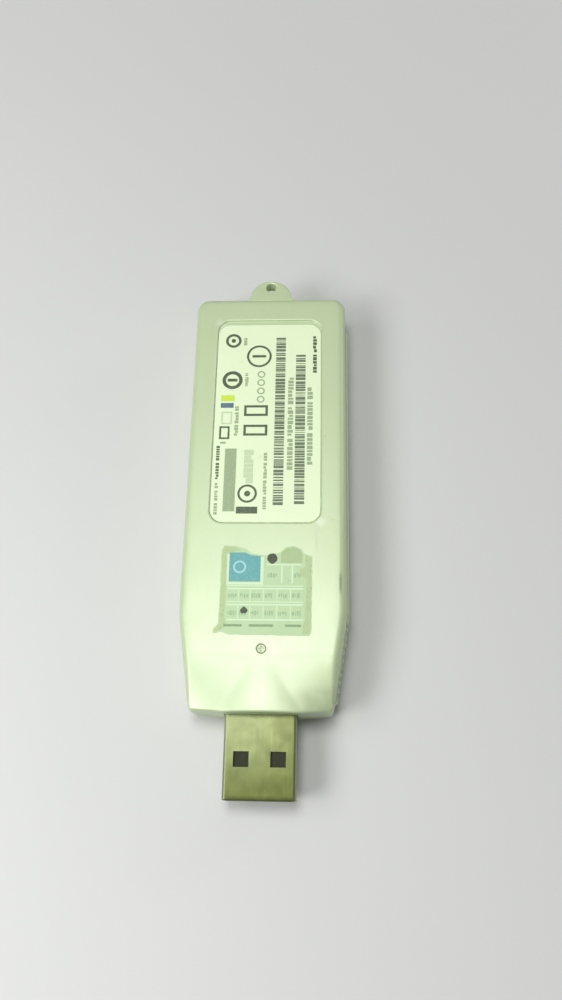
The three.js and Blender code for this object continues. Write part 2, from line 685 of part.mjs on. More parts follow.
function addDigitalParts(board) {
  place(piece("baseband_chip", MATERIAL.chipResin, chipSolid(10, 10, 0.9), board), 0, BASEBAND_Y);
  const eeprom = leadedSolid({
    width: 3.9,
    length: 4.9,
    height: 1.5,
    reach: 1.05,
    left: evenly(4, 1.27, 0.42),
    right: evenly(4, 1.27, 0.42),
  });
  place(piece("eeprom_chip", MATERIAL.chipResin, eeprom, board), 8.9, BASEBAND_Y + 0.8);
  const can = roundedRectangle(3.2, 5.0, 0.4);
  const step = roundedRectangle(2.8, 4.6, 0.3);
  const crystal = union(plate(can, 0, 0.7, 3), plate(step, 0.6, 1.1, 3));
  place(piece("reference_crystal", MATERIAL.shieldTin, crystal, board), -8.6, BASEBAND_Y + 0.8);
}

const SHIELD = { width: 21.6, length: 22.6, height: 2.2, sheet: 0.2, flange: 0.8, y: SCREW_Y + 36 };

// The soldered fence round the radio, and the lid that snaps over it.
function addShield(board) {
  const { width, length, height, sheet, flange } = SHIELD;
  const rim = (w, l, z0, z1) => block(-w / 2, w / 2, -l / 2, l / 2, z0, z1);
  const frame = without(
    rim(width, length, 0, height),
    rim(width - 2 * sheet, length - 2 * sheet, -1, height - sheet),
    rim(width - 2 * flange, length - 2 * flange, 0, height + 1),
  );
  place(piece("shield_frame", MATERIAL.shieldTin, frame, board), 0, SHIELD.y);
  const gap = 0.06;
  const [w, l] = [width + 2 * gap, length + 2 * gap];
  const skirtFoot = 0.7;
  const top = height + SEAT;
  const tray = without(
    rim(w + 2 * sheet, l + 2 * sheet, skirtFoot, top + sheet),
    rim(w, l, 0, top),
  );
  const vents = [];
  for (const x of [-6, -2, 2, 6])
    for (const y of [-6, 0, 6]) vents.push(post(x, y, 0, height + 2, 0.6, 8));
  place(piece("shield_lid", MATERIAL.shieldTin, without(tray, ...vents), board), 0, SHIELD.y);
}

function addRadioParts(board) {
  const at = (x, dy) => [x, SHIELD.y + dy];
  place(piece("radio_chip", MATERIAL.chipResin, chipSolid(7, 7, 0.85), board), ...at(0, -5));
  place(piece("power_amplifier", MATERIAL.chipResin, chipSolid(4, 4, 0.85), board), ...at(-4, 4));
  place(piece("antenna_switch", MATERIAL.chipResin, chipSolid(2.4, 2.4, 0.8), board), ...at(3, 7.2));
  const filter = cappedSolid(2.0, 1.25, 0.95, 0.4);
  place(piece("band_pass_filter", MATERIAL.ceramic, filter, board), ...at(3.2, 3.6));
  const balun = cappedSolid(2.0, 1.25, 0.9, 0.4);
  place(piece("balun", MATERIAL.ceramic, balun, board), ...at(-4, 0.2));
}

// The socket that a factory test lead plugs into, the status light, and the two antennas.
function addFarEndParts(board) {
  const base = block(-1.5, 1.5, -1.3, 1.3, 0, 0.6);
  const barrel = post(0, 0, 0.5, 1.4, 1.0).subtract(post(0, 0, 0.7, 2, 0.75));
  const socket = union(base, barrel, post(0, 0, 0.5, 1.2, 0.2, 8));
  place(piece("rf_test_socket", MATERIAL.gold, socket, board), 5.2, REAR_Y - 8.6);
  const led = cappedSolid(2.0, 1.25, 0.8, 0.45);
  place(piece("status_led", MATERIAL.ceramic, led, board), 0, LED_Y);
  const antenna = () => cappedSolid(8.0, 2.0, 1.2, 0.6);
  place(piece("antenna_main", MATERIAL.ceramic, antenna(), board), 6.6, REAR_Y - 4.2);
  place(piece("antenna_aux", MATERIAL.ceramic, antenna(), board), -6.6, REAR_Y - 4.2);
}

// Small chip resistors and capacitors: x, y, and whether the piece is turned to run along Y.
const RESISTORS = [
  [-2.4, SCREW_Y + 4.2, true],
  [2.4, SCREW_Y + 4.2, true],
  [-6.4, BASEBAND_Y - 5.0, false],
  [4.6, BASEBAND_Y + 7.2, false],
  [-3.6, LED_Y, true],
];
const CAPACITORS = [
  [2.0, SCREW_Y + 8.0, false],
  [-2.0, SCREW_Y + 8.0, false],
  [6.2, BASEBAND_Y - 3.4, true],
  [-6.2, BASEBAND_Y + 2.4, true],
  [-2.6, BASEBAND_Y + 7.2, false],
  [1.0, BASEBAND_Y + 7.2, false],
  [5.8, SHIELD.y - 7.6, true],
  [-5.8, SHIELD.y - 7.6, true],
  [7.6, SHIELD.y + 3.0, true],
];

function addPassives(board) {
  RESISTORS.forEach(([x, y, turned], k) => {
    const resistor = cappedSolid(1.6, 0.8, 0.45, 0.3);
    place(piece(`resistor_${k + 1}`, MATERIAL.chipResin, resistor, board), x, y, turned);
  });
  CAPACITORS.forEach(([x, y, turned], k) => {
    const capacitor = cappedSolid(1.6, 0.8, 0.8, 0.35);
    place(piece(`capacitor_${k + 1}`, MATERIAL.capacitorTan, capacitor, board), x, y, turned);
  });
}

// ---- The assembly ----

const adapter = new THREE.Group();
addBackCover(adapter);
addFrontCover(adapter);
addLightPipe(adapter);
addScrew(adapter);
addLabel(adapter);
addSticker(adapter);
addPlugShell(adapter);
addPlugInsulator(adapter);
addContacts(adapter);
addMainBoard(adapter);
const board = boardGroup(adapter);
addPowerParts(board);
addDigitalParts(board);
addShield(board);
addRadioParts(board);
addFarEndParts(board);
addPassives(board);

export default adapter;
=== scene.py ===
"""Looks of the USB Wi-Fi adapter: moulded covers, plug, label, sticker and their finishes.

Lengths are written in millimetres and turned into metres when a mesh is made. The frame is the CAD's:
X across, Y along with the plug towards -Y, Z up with the label side on top.
"""

import json
import math
import random

import bmesh
import bpy
from mathutils import Matrix, Vector, noise
from mathutils.geometry import delaunay_2d_cdt


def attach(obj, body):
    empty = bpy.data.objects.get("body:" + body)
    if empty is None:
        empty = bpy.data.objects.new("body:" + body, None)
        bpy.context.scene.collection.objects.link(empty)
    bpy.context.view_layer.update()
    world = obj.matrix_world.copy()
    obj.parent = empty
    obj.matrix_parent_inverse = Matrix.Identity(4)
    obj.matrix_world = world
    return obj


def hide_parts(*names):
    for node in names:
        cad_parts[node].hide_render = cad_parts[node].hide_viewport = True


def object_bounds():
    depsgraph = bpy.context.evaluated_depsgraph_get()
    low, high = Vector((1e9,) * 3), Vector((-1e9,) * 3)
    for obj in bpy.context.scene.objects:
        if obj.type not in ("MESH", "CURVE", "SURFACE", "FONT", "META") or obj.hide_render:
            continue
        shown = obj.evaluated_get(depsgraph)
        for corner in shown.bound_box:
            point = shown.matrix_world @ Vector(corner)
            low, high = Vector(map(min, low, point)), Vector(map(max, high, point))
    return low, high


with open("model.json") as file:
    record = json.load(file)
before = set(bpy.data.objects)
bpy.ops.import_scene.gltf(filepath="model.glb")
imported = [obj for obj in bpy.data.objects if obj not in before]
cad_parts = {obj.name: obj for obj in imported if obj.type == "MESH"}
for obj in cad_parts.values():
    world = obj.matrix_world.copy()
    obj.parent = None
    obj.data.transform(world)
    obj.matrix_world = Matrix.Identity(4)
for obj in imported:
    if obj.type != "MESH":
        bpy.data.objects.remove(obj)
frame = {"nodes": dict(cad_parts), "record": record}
cad_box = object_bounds()

MM = 0.001
RNG = random.Random(7)

# ---- Dimensions, as in the CAD ----

# the plug's mouth, and the body's plug end and lug end
TIP_Y = round(cad_box[0][1] / MM, 2)
FRONT_Y = round(TIP_Y + 13.4, 2)
REAR_Y = round(FRONT_Y + 79.4, 2)
TOP_Z, SEAM_Z = 10.6, 5.3
WIDTH, NOSE_WIDTH, NOSE_FLAT = 29.0, 24.2, 12.6
TAPER, SWEEP, NOSE_CORNER = 16.6, 0.4, 0.9
WALL, EDGE, NOSE_EDGE, DRAFT, SEAM_GAP = 1.2, 1.5, 0.45, 0.12, 0.04
APEX_Y, DROP = FRONT_Y + 9.4, 0.8
CREASE_APEX, CREASE_FRONT = 0.9, 7.1
LUG_RADIUS, LUG_REACH, LUG_THICK, LUG_STEP = 4.0, 3.8, 2.6, 0.25
LUG_HOLE, LUG_HOLE_Y = 0.95, REAR_Y + 2.3
PLUG_W, PLUG_H, PLUG_SHEET, PLUG_CORNER, PLUG_INSIDE = 12.0, 4.5, 0.3, 0.55, 5.4
POCKET_W, POCKET_L, POCKET_Y, POCKET_CORNER, POCKET_DEPTH = 20.0, 41.4, 18.5, 2.6, 0.35
SCREW_Y, SCREW_R, SCREW_DEEP = FRONT_Y + 10.5, 0.8, 0.64
RAIL_PROUD, RAIL_LOW, RAIL_BOTTOM, RAIL_REAR = 0.4, 0.15, 2.0, REAR_Y - 5.0
RIB_PITCH, RIB_WIDTH, RIB_COUNT, RIB_START = 1.3, 0.6, 10, FRONT_Y + 3.0
LED_Y = REAR_Y - 11.0


def smooth(low, high, x):
    """0 below low and 1 above high, with a soft start and end."""
    t = min(1.0, max(0.0, (x - low) / (high - low)))
    return t * t * (3 - 2 * t)


# ---- Mesh helpers ----

SHARP = 35.0  # edges that turn by more than this many degrees are shaded as sharp
WELD = 2e-6  # points closer than this are merged, in metres


def add_object(name, data):
    obj = bpy.data.objects.new(name, data)
    bpy.context.scene.collection.objects.link(obj)
    return obj


def clean(obj, sharp_deg=SHARP):
    """Welds points that meet, turns the faces outwards, and shades smooth except at sharp edges."""
    limit = math.radians(sharp_deg)
    bm = bmesh.new()
    bm.from_mesh(obj.data)
    bmesh.ops.remove_doubles(bm, verts=bm.verts, dist=WELD)
    bmesh.ops.recalc_face_normals(bm, faces=bm.faces)
    for face in bm.faces:
        face.smooth = True
    for edge in bm.edges:
        edge.smooth = len(edge.link_faces) == 2 and edge.calc_face_angle(0.0) < limit
    bm.to_mesh(obj.data)
    bm.free()


def make_mesh(name, verts, faces, sharp_deg=SHARP):
    """An object from vertices in millimetres."""
    mesh = bpy.data.meshes.new(name)
    mesh.from_pydata([Vector(v) * MM for v in verts], [], faces)
    obj = add_object(name, mesh)
    clean(obj, sharp_deg)
    return obj


def boolean(obj, cutter, operation):
    """Joins cutter to obj or cuts it away, then removes the cutter."""
    modifier = obj.modifiers.new("cut", "BOOLEAN")
    modifier.operation = operation
    modifier.solver = "EXACT"
    modifier.object = cutter
    bpy.context.view_layer.update()
    evaluated = obj.evaluated_get(bpy.context.evaluated_depsgraph_get())
    result = bpy.data.meshes.new_from_object(evaluated)
    obj.modifiers.clear()
    obj.data = result
    bpy.data.objects.remove(cutter)
    clean(obj)


def bevel(obj, width, angle):
    """Rounds the edges that turn by more than `angle` degrees."""
    modifier = obj.modifiers.new("bevel", "BEVEL")
    modifier.width = width * MM
    modifier.segments = 2
    modifier.limit_method = "ANGLE"
    modifier.angle_limit = math.radians(angle)
    modifier.harden_normals = True


def add_ring(verts, points):
    """Adds points to verts and gives their indices."""
    start = len(verts)
    verts.extend(points)
    return list(range(start, start + len(points)))


def bridge(faces, lower, upper):
    """A band of four-sided faces between two closed rings with as many points each."""
    count = len(lower)
    for i in range(count):
        j = (i + 1) % count
        faces.append((lower[i], lower[j], upper[j], upper[i]))


def anywhere(x, y):
    return True


def fill(verts, faces, loops, points, height, keep=anywhere):
    """Triangles between closed 2-D loops and loose points, where the test `keep` allows them."""
    flat, edges = [], []
    for loop in loops:
        first = len(flat)
        flat.extend(Vector(p) for p in loop)
        count = len(loop)
        edges.extend((first + i, first + (i + 1) % count) for i in range(count))
    flat.extend(Vector(p) for p in points)
    out, _, tris, *_ = delaunay_2d_cdt(flat, edges, [], 1, 1e-5)
    base = len(verts)
    verts.extend((p.x, p.y, height(p.x, p.y)) for p in out)
    for tri in tris:
        x = sum(out[k].x for k in tri) / 3
        y = sum(out[k].y for k in tri) / 3
        if keep(x, y):
            faces.append(tuple(base + k for k in tri))


def corner_arcs(corners, spacing, inset):
    """The arc round each corner of a polygon, as its points and their outward normals."""
    arcs = []
    for i, (x, y, radius) in enumerate(corners):
        corner = Vector((x, y))
        back = (Vector(corners[i - 1][:2]) - corner).normalized()
        ahead = (Vector(corners[(i + 1) % len(corners)][:2]) - corner).normalized()
        half = math.acos(max(-1.0, min(1.0, back.dot(ahead)))) / 2
        inward = (back + ahead).normalized()
        bend = max(radius - inset, 0.1)
        centre = corner + inward * ((inset + bend) / math.sin(half))
        middle = math.atan2(-inward.y, -inward.x)
        sweep = math.pi / 2 - half
        steps = max(6, round(2 * sweep * radius / spacing))
        turns = [middle + sweep * (2 * k / steps - 1) for k in range(steps + 1)]
        normals = [Vector((math.cos(a), math.sin(a))) for a in turns]
        arcs.append(([centre + bend * n for n in normals], normals))
    return arcs


def corner_loop(corners, spacing, inset=0.0):
    """Points and outward normals round a polygon with rounded corners: (x, y, radius) each.

    An inset moves the loop inwards and keeps the number of points, so that loops can be bridged.
    """
    whole = corner_arcs(corners, spacing, 0.0)
    arcs = corner_arcs(corners, spacing, inset)
    points, normals = [], []
    for i, (arc, arc_normals) in enumerate(arcs):
        j = (i + 1) % len(arcs)
        points.extend(arc)
        normals.extend(arc_normals)
        steps = max(1, round((whole[j][0][0] - whole[i][0][-1]).length / spacing))
        for k in range(1, steps):
            points.append(arc[-1].lerp(arcs[j][0][0], k / steps))
            normals.append(arc_normals[-1].copy())
    return points, normals


def rectangle(x, y, width, length):
    """The corners of a rectangle round x, y, anticlockwise."""
    w, l = width / 2, length / 2
    return [(x - w, y - l), (x + w, y - l), (x + w, y + l), (x - w, y + l)]


def rounded_rectangle(width, length, radius, y, spacing=0.4):
    corners = [(*corner, radius) for corner in rectangle(0, y, width, length)]
    return corner_loop(corners, spacing)


def offset(points, normals, distance):
    """A loop moved outwards along its normals."""
    return [p + n * distance for p, n in zip(points, normals)]


def circle(x, y, radius, count=40):
    turn = [2 * math.pi * k / count for k in range(count)]
    return [Vector((x + radius * math.cos(a), y + radius * math.sin(a))) for a in turn]


# ---- Covers ----

HALF = [
    (NOSE_FLAT / 2, FRONT_Y, 3.0),
    (NOSE_WIDTH / 2, FRONT_Y + SWEEP, NOSE_CORNER),
    (WIDTH / 2, FRONT_Y + TAPER, 22.0),
    (WIDTH / 2, REAR_Y, 2.6),
]
BODY = HALF + [(-x, y, r) for x, y, r in reversed(HALF)]
OUTLINE_STEP = 0.2
OUTLINE, NORMALS = corner_loop(BODY, OUTLINE_STEP)


def edge_radius(y):
    """How round the long edges are. They sharpen towards the plug end."""
    return NOSE_EDGE + (EDGE - NOSE_EDGE) * smooth(FRONT_Y - 1.0, FRONT_Y + 9.0, y)


def half_width(y):
    """How far the body's straight flanks stand from its middle."""
    share = min(1.0, max(0.0, (y - FRONT_Y - SWEEP) / (TAPER - SWEEP)))
    return (NOSE_WIDTH + (WIDTH - NOSE_WIDTH) * share) / 2


def crease(y):
    """How far the fairing's two creases stand from its middle."""
    forward = max(0.0, (APEX_Y - y) / (APEX_Y - FRONT_Y))
    return CREASE_APEX + (CREASE_FRONT - CREASE_APEX) * forward


def nose_drop(x, y):
    """How far a face has sunk towards the plug end. The cone-shaped fairing stays higher."""
    start, crease_soft, cone_power = 0.2, 0.06, 2.2
    corner_fall, corner_from, corner_at = 1.1, 4.5, 12.0
    along = (APEX_Y - y) / (APEX_Y - FRONT_Y)
    fall = DROP * start * math.log1p(math.exp(min(60.0, along / start)))
    forward = max(along, 0.0)
    half = crease(y) + 0.5
    cone = DROP * (start * math.log(2) + forward * abs(x / half) ** cone_power)
    low = min(cone, fall) - crease_soft * math.log1p(math.exp(-abs(cone - fall) / crease_soft))
    outward = max(0.0, (abs(x) - corner_from) / (corner_at - corner_from))
    return corner_fall * forward**1.5 * outward**2 + max(0.0, low)


def rail(y, z, x):
    """How far the front cover's flank stands out, from its rail and the ribs on the nose."""
    soft = 0.14
    rise = smooth(RAIL_BOTTOM - 0.12, RAIL_BOTTOM + 0.12, z)
    ends = smooth(FRONT_Y + 2.0, FRONT_Y + 2.5, y) * (1 - smooth(RAIL_REAR - 0.15, RAIL_REAR + 0.15, y))
    flank = smooth(NOSE_FLAT / 2 + 3.0, NOSE_FLAT / 2 + 3.6, abs(x))
    proud = RAIL_PROUD
    place = (y - RIB_START) / RIB_PITCH
    if 0 <= place < RIB_COUNT:
        inside = (place % 1) * RIB_PITCH
        groove = smooth(RIB_WIDTH - soft, RIB_WIDTH + soft, inside)
        groove *= 1 - smooth(RIB_PITCH - soft, RIB_PITCH, inside)
        proud -= (RAIL_PROUD - RAIL_LOW) * groove
    return proud * rise * ends * flank


def wall_profile(with_rail, edge):
    """(inset, z) steps up the outside of a cover, from the seam, with z as for the label side."""
    bottom, relief = SEAM_Z + SEAM_GAP, 0.24
    steps = [(0.28, bottom), (0.1, bottom + 0.04), (0.02, bottom + 0.12), (0.0, bottom + relief)]
    top = TOP_Z - edge
    levels = 12 if with_rail else 5
    for k in range(1, levels + 1):
        share = k / levels
        steps.append((DRAFT * share, bottom + relief + (top - bottom - relief) * share))
    if with_rail:
        foot = TOP_Z - RAIL_BOTTOM
        extra = [(DRAFT, foot + d) for d in (-0.16, -0.08, 0.0, 0.08, 0.16)]
        steps = sorted(steps + extra, key=lambda step: step[1])
    turn = 9
    for k in range(1, turn + 1):
        a = k / turn * math.pi / 2
        steps.append((DRAFT + (edge - DRAFT) * (1 - math.cos(a)), top + edge * math.sin(a)))
    return steps


def inner_shell(verts, faces, seam_ring):
    """The inside of a cover: a wall one thickness in, and a flat ceiling that follows the nose."""

    def ceiling(x, y):
        return TOP_Z - WALL - nose_drop(x, y)

    inner, _ = corner_loop(BODY, OUTLINE_STEP, WALL)
    low = add_ring(verts, [(p.x, p.y, SEAM_Z + SEAM_GAP) for p in inner])
    high = add_ring(verts, [(p.x, p.y, ceiling(p.x, p.y)) for p in inner])
    bridge(faces, low, seam_ring)
    bridge(faces, high, low)
    columns, rows = range(-10, 11, 2), range(-32, 43, 3)
    grid = [(x, y) for x in columns for y in rows if abs(x) < half_width(y) - 2]
    fill(verts, faces, [inner], grid, ceiling)


def face_points(step, low, high, clear):
    """A grid of equal triangles over a cover's face, kept clear of its edge and by the tests in `clear`."""
    edge_gap, row_step = 0.4, 0.87 * step
    found = []
    row = 0
    y = low
    while y < high:
        half = half_width(y) - edge_radius(y) - edge_gap
        x = -half + (row % 2) * step / 2
        while x < half:
            if all(test(x, y) for test in clear):
                found.append((x, y))
            x += step
        y += row_step
        row += 1
    return found


def crease_points():
    """Points along both sides of the fairing's creases."""
    found = []
    rows, asides, least = 44, (-0.3, -0.12, 0.0, 0.12, 0.3), 0.1
    for k in range(1, rows):
        y = APEX_Y - (APEX_Y - FRONT_Y - NOSE_EDGE - 0.3) * k / rows
        for x in (crease(y) + aside for aside in asides):
            if x > least:
                found.extend([(-x, y), (x, y)])
    return found


def off_crease(x, y):
    """Whether a point is clear of the creases, which have points of their own."""
    return y > APEX_Y or abs(abs(x) - crease(y)) > 0.42


# how far outside a recess's edge and how deep its wall is, from the face inwards
POCKET_WALL = [
    (0.3, 0.0), (0.2, 0.0), (0.1, 0.03), (0.03, 0.1), (0.0, 0.18),
    (-0.03, 0.26), (-0.09, 0.33), (-0.18, POCKET_DEPTH), (-0.28, POCKET_DEPTH),
]
SCREW_SEAT = [(0.25, 0.0), (0.15, 0.0), (0.06, 0.03), (0.0, 0.12), (-0.02, SCREW_DEEP), (-0.1, SCREW_DEEP)]


def recess(distance, wall):
    """How deep a recess is at a distance outside its edge, from (distance, depth) steps going in."""
    if distance >= wall[0][0]:
        return 0.0
    for (far, shallow), (near, deep) in zip(wall, wall[1:]):
        if distance >= near:
            return shallow + (deep - shallow) * (far - distance) / (far - near)
    return wall[-1][1]


def pocket_distance(x, y):
    """How far a point lies outside the label pocket's edge. It is negative inside."""
    across = abs(x) - (POCKET_W / 2 - POCKET_CORNER)
    along = abs(y - POCKET_Y) - (POCKET_L / 2 - POCKET_CORNER)
    outside = math.hypot(max(across, 0.0), max(along, 0.0))
    return outside + min(max(across, along), 0.0) - POCKET_CORNER


def screw_distance(x, y):
    """How far a point lies outside the screw's hole."""
    return math.hypot(x, y - SCREW_Y) - SCREW_R


def outer_walls(verts, faces, with_rail):
    """The outside from the seam up to the edge of the face. Gives the ring at the seam."""
    rings = []
    profiles = [wall_profile(with_rail, edge_radius(p.y)) for p in OUTLINE]
    for level in range(len(profiles[0])):
        points = []
        for p, n, profile in zip(OUTLINE, NORMALS, profiles):
            inset, z = profile[level]
            out = rail(p.y, TOP_Z - z, p.x) if with_rail else 0.0
            spot = p + n * (out - inset)
            sink = nose_drop(spot.x, spot.y) * smooth(SEAM_Z + 0.6, TOP_Z - EDGE, z)
            points.append((spot.x, spot.y, z - sink))
        rings.append(add_ring(verts, points))
    for lower, upper in zip(rings, rings[1:]):
        bridge(faces, lower, upper)
    return rings[0]


def outer_face(verts, faces, with_pocket):
    """The flat face, which sinks at the nose, with the label pocket and the screw's seat."""
    loops = [[p - n * edge_radius(p.y) for p, n in zip(OUTLINE, NORMALS)]]
    clear = []
    if with_pocket:
        pocket, normals = rounded_rectangle(POCKET_W, POCKET_L, POCKET_CORNER, POCKET_Y)
        loops += [offset(pocket, normals, out) for out, _ in POCKET_WALL]
        loops += [circle(0, SCREW_Y, SCREW_R + out) for out, _ in SCREW_SEAT]
        clear.append(lambda x, y: pocket_distance(x, y) > 0.6)
        clear.append(lambda x, y: screw_distance(x, y) > 0.5)

    def height(x, y):
        z = TOP_Z - nose_drop(x, y)
        if with_pocket:
            z -= recess(pocket_distance(x, y), POCKET_WALL) + recess(screw_distance(x, y), SCREW_SEAT)
        return z

    front, middle, rear = FRONT_Y + SWEEP + NOSE_EDGE + 0.3, APEX_Y + 4.0, REAR_Y - EDGE - 0.5
    fine = face_points(0.45, front, middle, clear + [off_crease]) + crease_points()
    coarse = face_points(1.1, middle + 0.6, rear, clear)
    points = [p for p in fine if all(test(*p) for test in clear)] + coarse
    fill(verts, faces, loops, points, height)


def cover_shell(with_pocket, with_rail):
    """One cover as a closed shell, with its face up."""
    verts, faces = [], []
    seam_ring = outer_walls(verts, faces, with_rail)
    outer_face(verts, faces, with_pocket)
    inner_shell(verts, faces, seam_ring)
    return verts, faces


def plug_opening():
    """The room that the plug takes in the end wall, as a box to cut with."""
    clear = 0.14
    section = rectangle(0, SEAM_Z, PLUG_W + 2 * clear, PLUG_H + 2 * clear)
    verts, faces = [], []
    ends = [add_ring(verts, [(x, y, z) for x, z in section]) for y in (FRONT_Y - 2, FRONT_Y + 4)]
    bridge(faces, *ends)
    faces.extend(ends)
    return make_mesh("plug_opening", verts, faces)


def stack(verts, faces, loops, heights):
    """Walls through loops with as many points each, one above the other."""
    rings = [add_ring(verts, [(p.x, p.y, z) for p in loop]) for loop, z in zip(loops, heights)]
    for lower, upper in zip(rings, rings[1:]):
        bridge(faces, lower, upper)


def prism(name, loop, z0, z1, rounding=0.0, hole=None):
    """A plate from z0 to z1, with round edges and perhaps a round hole: (x, y, radius)."""
    steps = [(0.0, z0), (0.0, z1)]
    if rounding:
        turn = [k / 5 * math.pi / 2 for k in range(6)]
        lower = [(rounding * (1 - math.sin(a)), z0 + rounding * (1 - math.cos(a))) for a in turn]
        steps = lower + [(inset, z1 + z0 - z) for inset, z in reversed(lower)]
    insets, heights = zip(*steps)
    walls = [[offset(*loop, -inset) for inset in insets]]
    keep = anywhere
    if hole:
        x0, y0, radius = hole
        walls.append([circle(x0, y0, radius + inset) for inset in insets])

        def keep(x, y):
            """Whether a triangle's middle is outside the hole. Inside, it is at most 0.992 radius out."""
            return math.hypot(x - x0, y - y0) > 0.995 * (radius + insets[0])

    verts, faces = [], []
    for wall in walls:
        stack(verts, faces, wall, heights)
    for k in (0, -1):
        fill(verts, faces, [wall[k] for wall in walls], [], lambda x, y: heights[k], keep)
    return make_mesh(name, verts, faces)


def lug():
    """The lanyard lug: a half disc, with a small flare at the body and its root in the wall."""
    flare, flare_steps, root_y = 0.35, 8, REAR_Y - WALL + 0.15
    disc_y, disc_start, disc_steps = REAR_Y + LUG_REACH - LUG_RADIUS, math.radians(9), 48
    # the right flank's points and normals, from the root outwards
    half = [(Vector((LUG_RADIUS + flare, root_y)), Vector((0.7, -0.7)))]
    middle = Vector((LUG_RADIUS + flare, REAR_Y + flare - 0.06))
    for k in range(flare_steps + 1):
        a = math.pi / 2 * k / flare_steps
        normal = Vector((math.sin(a), math.cos(a)))
        half.append((middle - flare * normal, normal))
    disc = []
    for k in range(1, disc_steps):
        a = disc_start + (math.pi - 2 * disc_start) * k / disc_steps
        normal = Vector((math.cos(a), math.sin(a)))
        disc.append((Vector((0, disc_y)) + LUG_RADIUS * normal, normal))
    mirrored = [(Vector((-p.x, p.y)), Vector((-n.x, n.y))) for p, n in reversed(half)]
    points, normals = zip(*half, *disc, *mirrored)
    top = TOP_Z - LUG_STEP
    return prism("lug", (points, normals), top - LUG_THICK, top, 0.22, (0, LUG_HOLE_Y, LUG_HOLE))


def build_back_cover():
    verts, faces = cover_shell(with_pocket=True, with_rail=False)
    cover = make_mesh("back_cover_shell", verts, faces)
    boolean(cover, lug(), "UNION")
    boolean(cover, plug_opening(), "DIFFERENCE")
    return cover


def build_front_cover():
    verts, faces = cover_shell(with_pocket=False, with_rail=True)
    flipped = [(x, y, TOP_Z - z) for x, y, z in verts]
    cover = make_mesh("front_cover_shell", flipped, faces)
    boolean(cover, plug_opening(), "DIFFERENCE")
    window_loop = rounded_rectangle(1.9, 4.1, 0.9, LED_Y, 0.15)
    window = prism("window", window_loop, -1.0, WALL + 1.0)
    boolean(cover, window, "DIFFERENCE")
    return cover


# ---- Plug ----

LATCH_W, LATCH_L, LATCH_X, LATCH_Y = 2.5, 2.4, 3.05, TIP_Y + 6.35


def plug_loop():
    """The plug's outline across, as (x, z), with a point at each side of the latch holes."""
    step = 0.3
    loop, normals = rounded_rectangle(PLUG_W, PLUG_H, PLUG_CORNER, SEAM_Z, step)
    sides = [side * LATCH_X + end * LATCH_W / 2 for side in (-1, 1) for end in (-1, 1)]
    for p, n in zip(loop, normals):
        nearest = min(sides, key=lambda x: abs(x - p.x))
        if abs(n.y) > 0.99 and abs(nearest - p.x) < step / 2 + 0.001:
            p.x = nearest
    return loop, normals


def plug_stations():
    """Places along the plug, from its mouth to its held end, with one at each end of the latch holes."""
    end = FRONT_Y + PLUG_INSIDE
    lip, front_step, rear_step = 0.12, 0.62, 0.7
    stations = [TIP_Y + lip + k * front_step for k in range(8)]
    stations += [LATCH_Y + LATCH_L * (k / 4 - 0.5) for k in range(5)]
    stations += [LATCH_Y + LATCH_L / 2 + k * rear_step for k in range(1, 9)]
    stations += [FRONT_Y + 1.0, end]
    return sorted(set(round(y, 4) for y in stations if y <= end))


def build_plug():
    """The plug's sheet-metal shell, with latch holes on both faces and a rounded mouth."""
    loop, normals = plug_loop()
    stations = plug_stations()
    count = len(loop)
    verts, faces = [], []

    def ring(inset, y):
        return add_ring(verts, [(p.x, y, p.y) for p in offset(loop, normals, -inset)])

    def in_hole(k, i):
        """Whether the cell after station k and point i lies in a latch hole."""
        y = (stations[k] + stations[k + 1]) / 2
        x = (loop[i].x + loop[(i + 1) % count].x) / 2
        flat = abs(normals[i].y) > 0.99
        return flat and abs(y - LATCH_Y) < LATCH_L / 2 and abs(abs(x) - LATCH_X) < LATCH_W / 2

    outer = [ring(0.0, y) for y in stations]
    inner = [ring(PLUG_SHEET, y) for y in stations]
    mouth = [ring(0.03, TIP_Y + 0.05), ring(0.1, TIP_Y), ring(0.2, TIP_Y), ring(0.27, TIP_Y + 0.05)]
    lip = [outer[0], *mouth, inner[0]]
    for a, b in zip(lip, lip[1:]):
        bridge(faces, a, b)
    bridge(faces, outer[-1], inner[-1])
    for k in range(len(stations) - 1):
        for i in range(count):
            j, high = (i + 1) % count, k + 1
            if not in_hole(k, i):
                faces.append((outer[k][i], outer[k][j], outer[high][j], outer[high][i]))
                faces.append((inner[k][i], inner[high][i], inner[high][j], inner[k][j]))
                continue
            # a wall through the sheet on each side where the next cell is not in the hole
            for beyond, (ka, ia), (kb, ib) in (
                ((k, i - 1), (k, i), (high, i)),
                ((k, j), (k, j), (high, j)),
                ((k - 1, i), (k, i), (k, j)),
                ((high, i), (high, i), (high, j)),
            ):
                if not in_hole(*beyond):
                    faces.append((outer[ka][ia], inner[ka][ia], inner[kb][ib], outer[kb][ib]))
    return make_mesh("plug_shell_sheet", verts, faces, 40.0)


# ---- Label and sticker ----

LABEL_W, LABEL_L, LABEL_Y, LABEL_CORNER = 19.6, 40.3, 18.15, 2.3
LABEL_Z = TOP_Z - POCKET_DEPTH + 0.02
LABEL_TOP = LABEL_Z + 0.12
STICKER_Z = TOP_Z + 0.02
STICKER_TOP = STICKER_Z + 0.06
INK, GAP = 0.012, 0.003


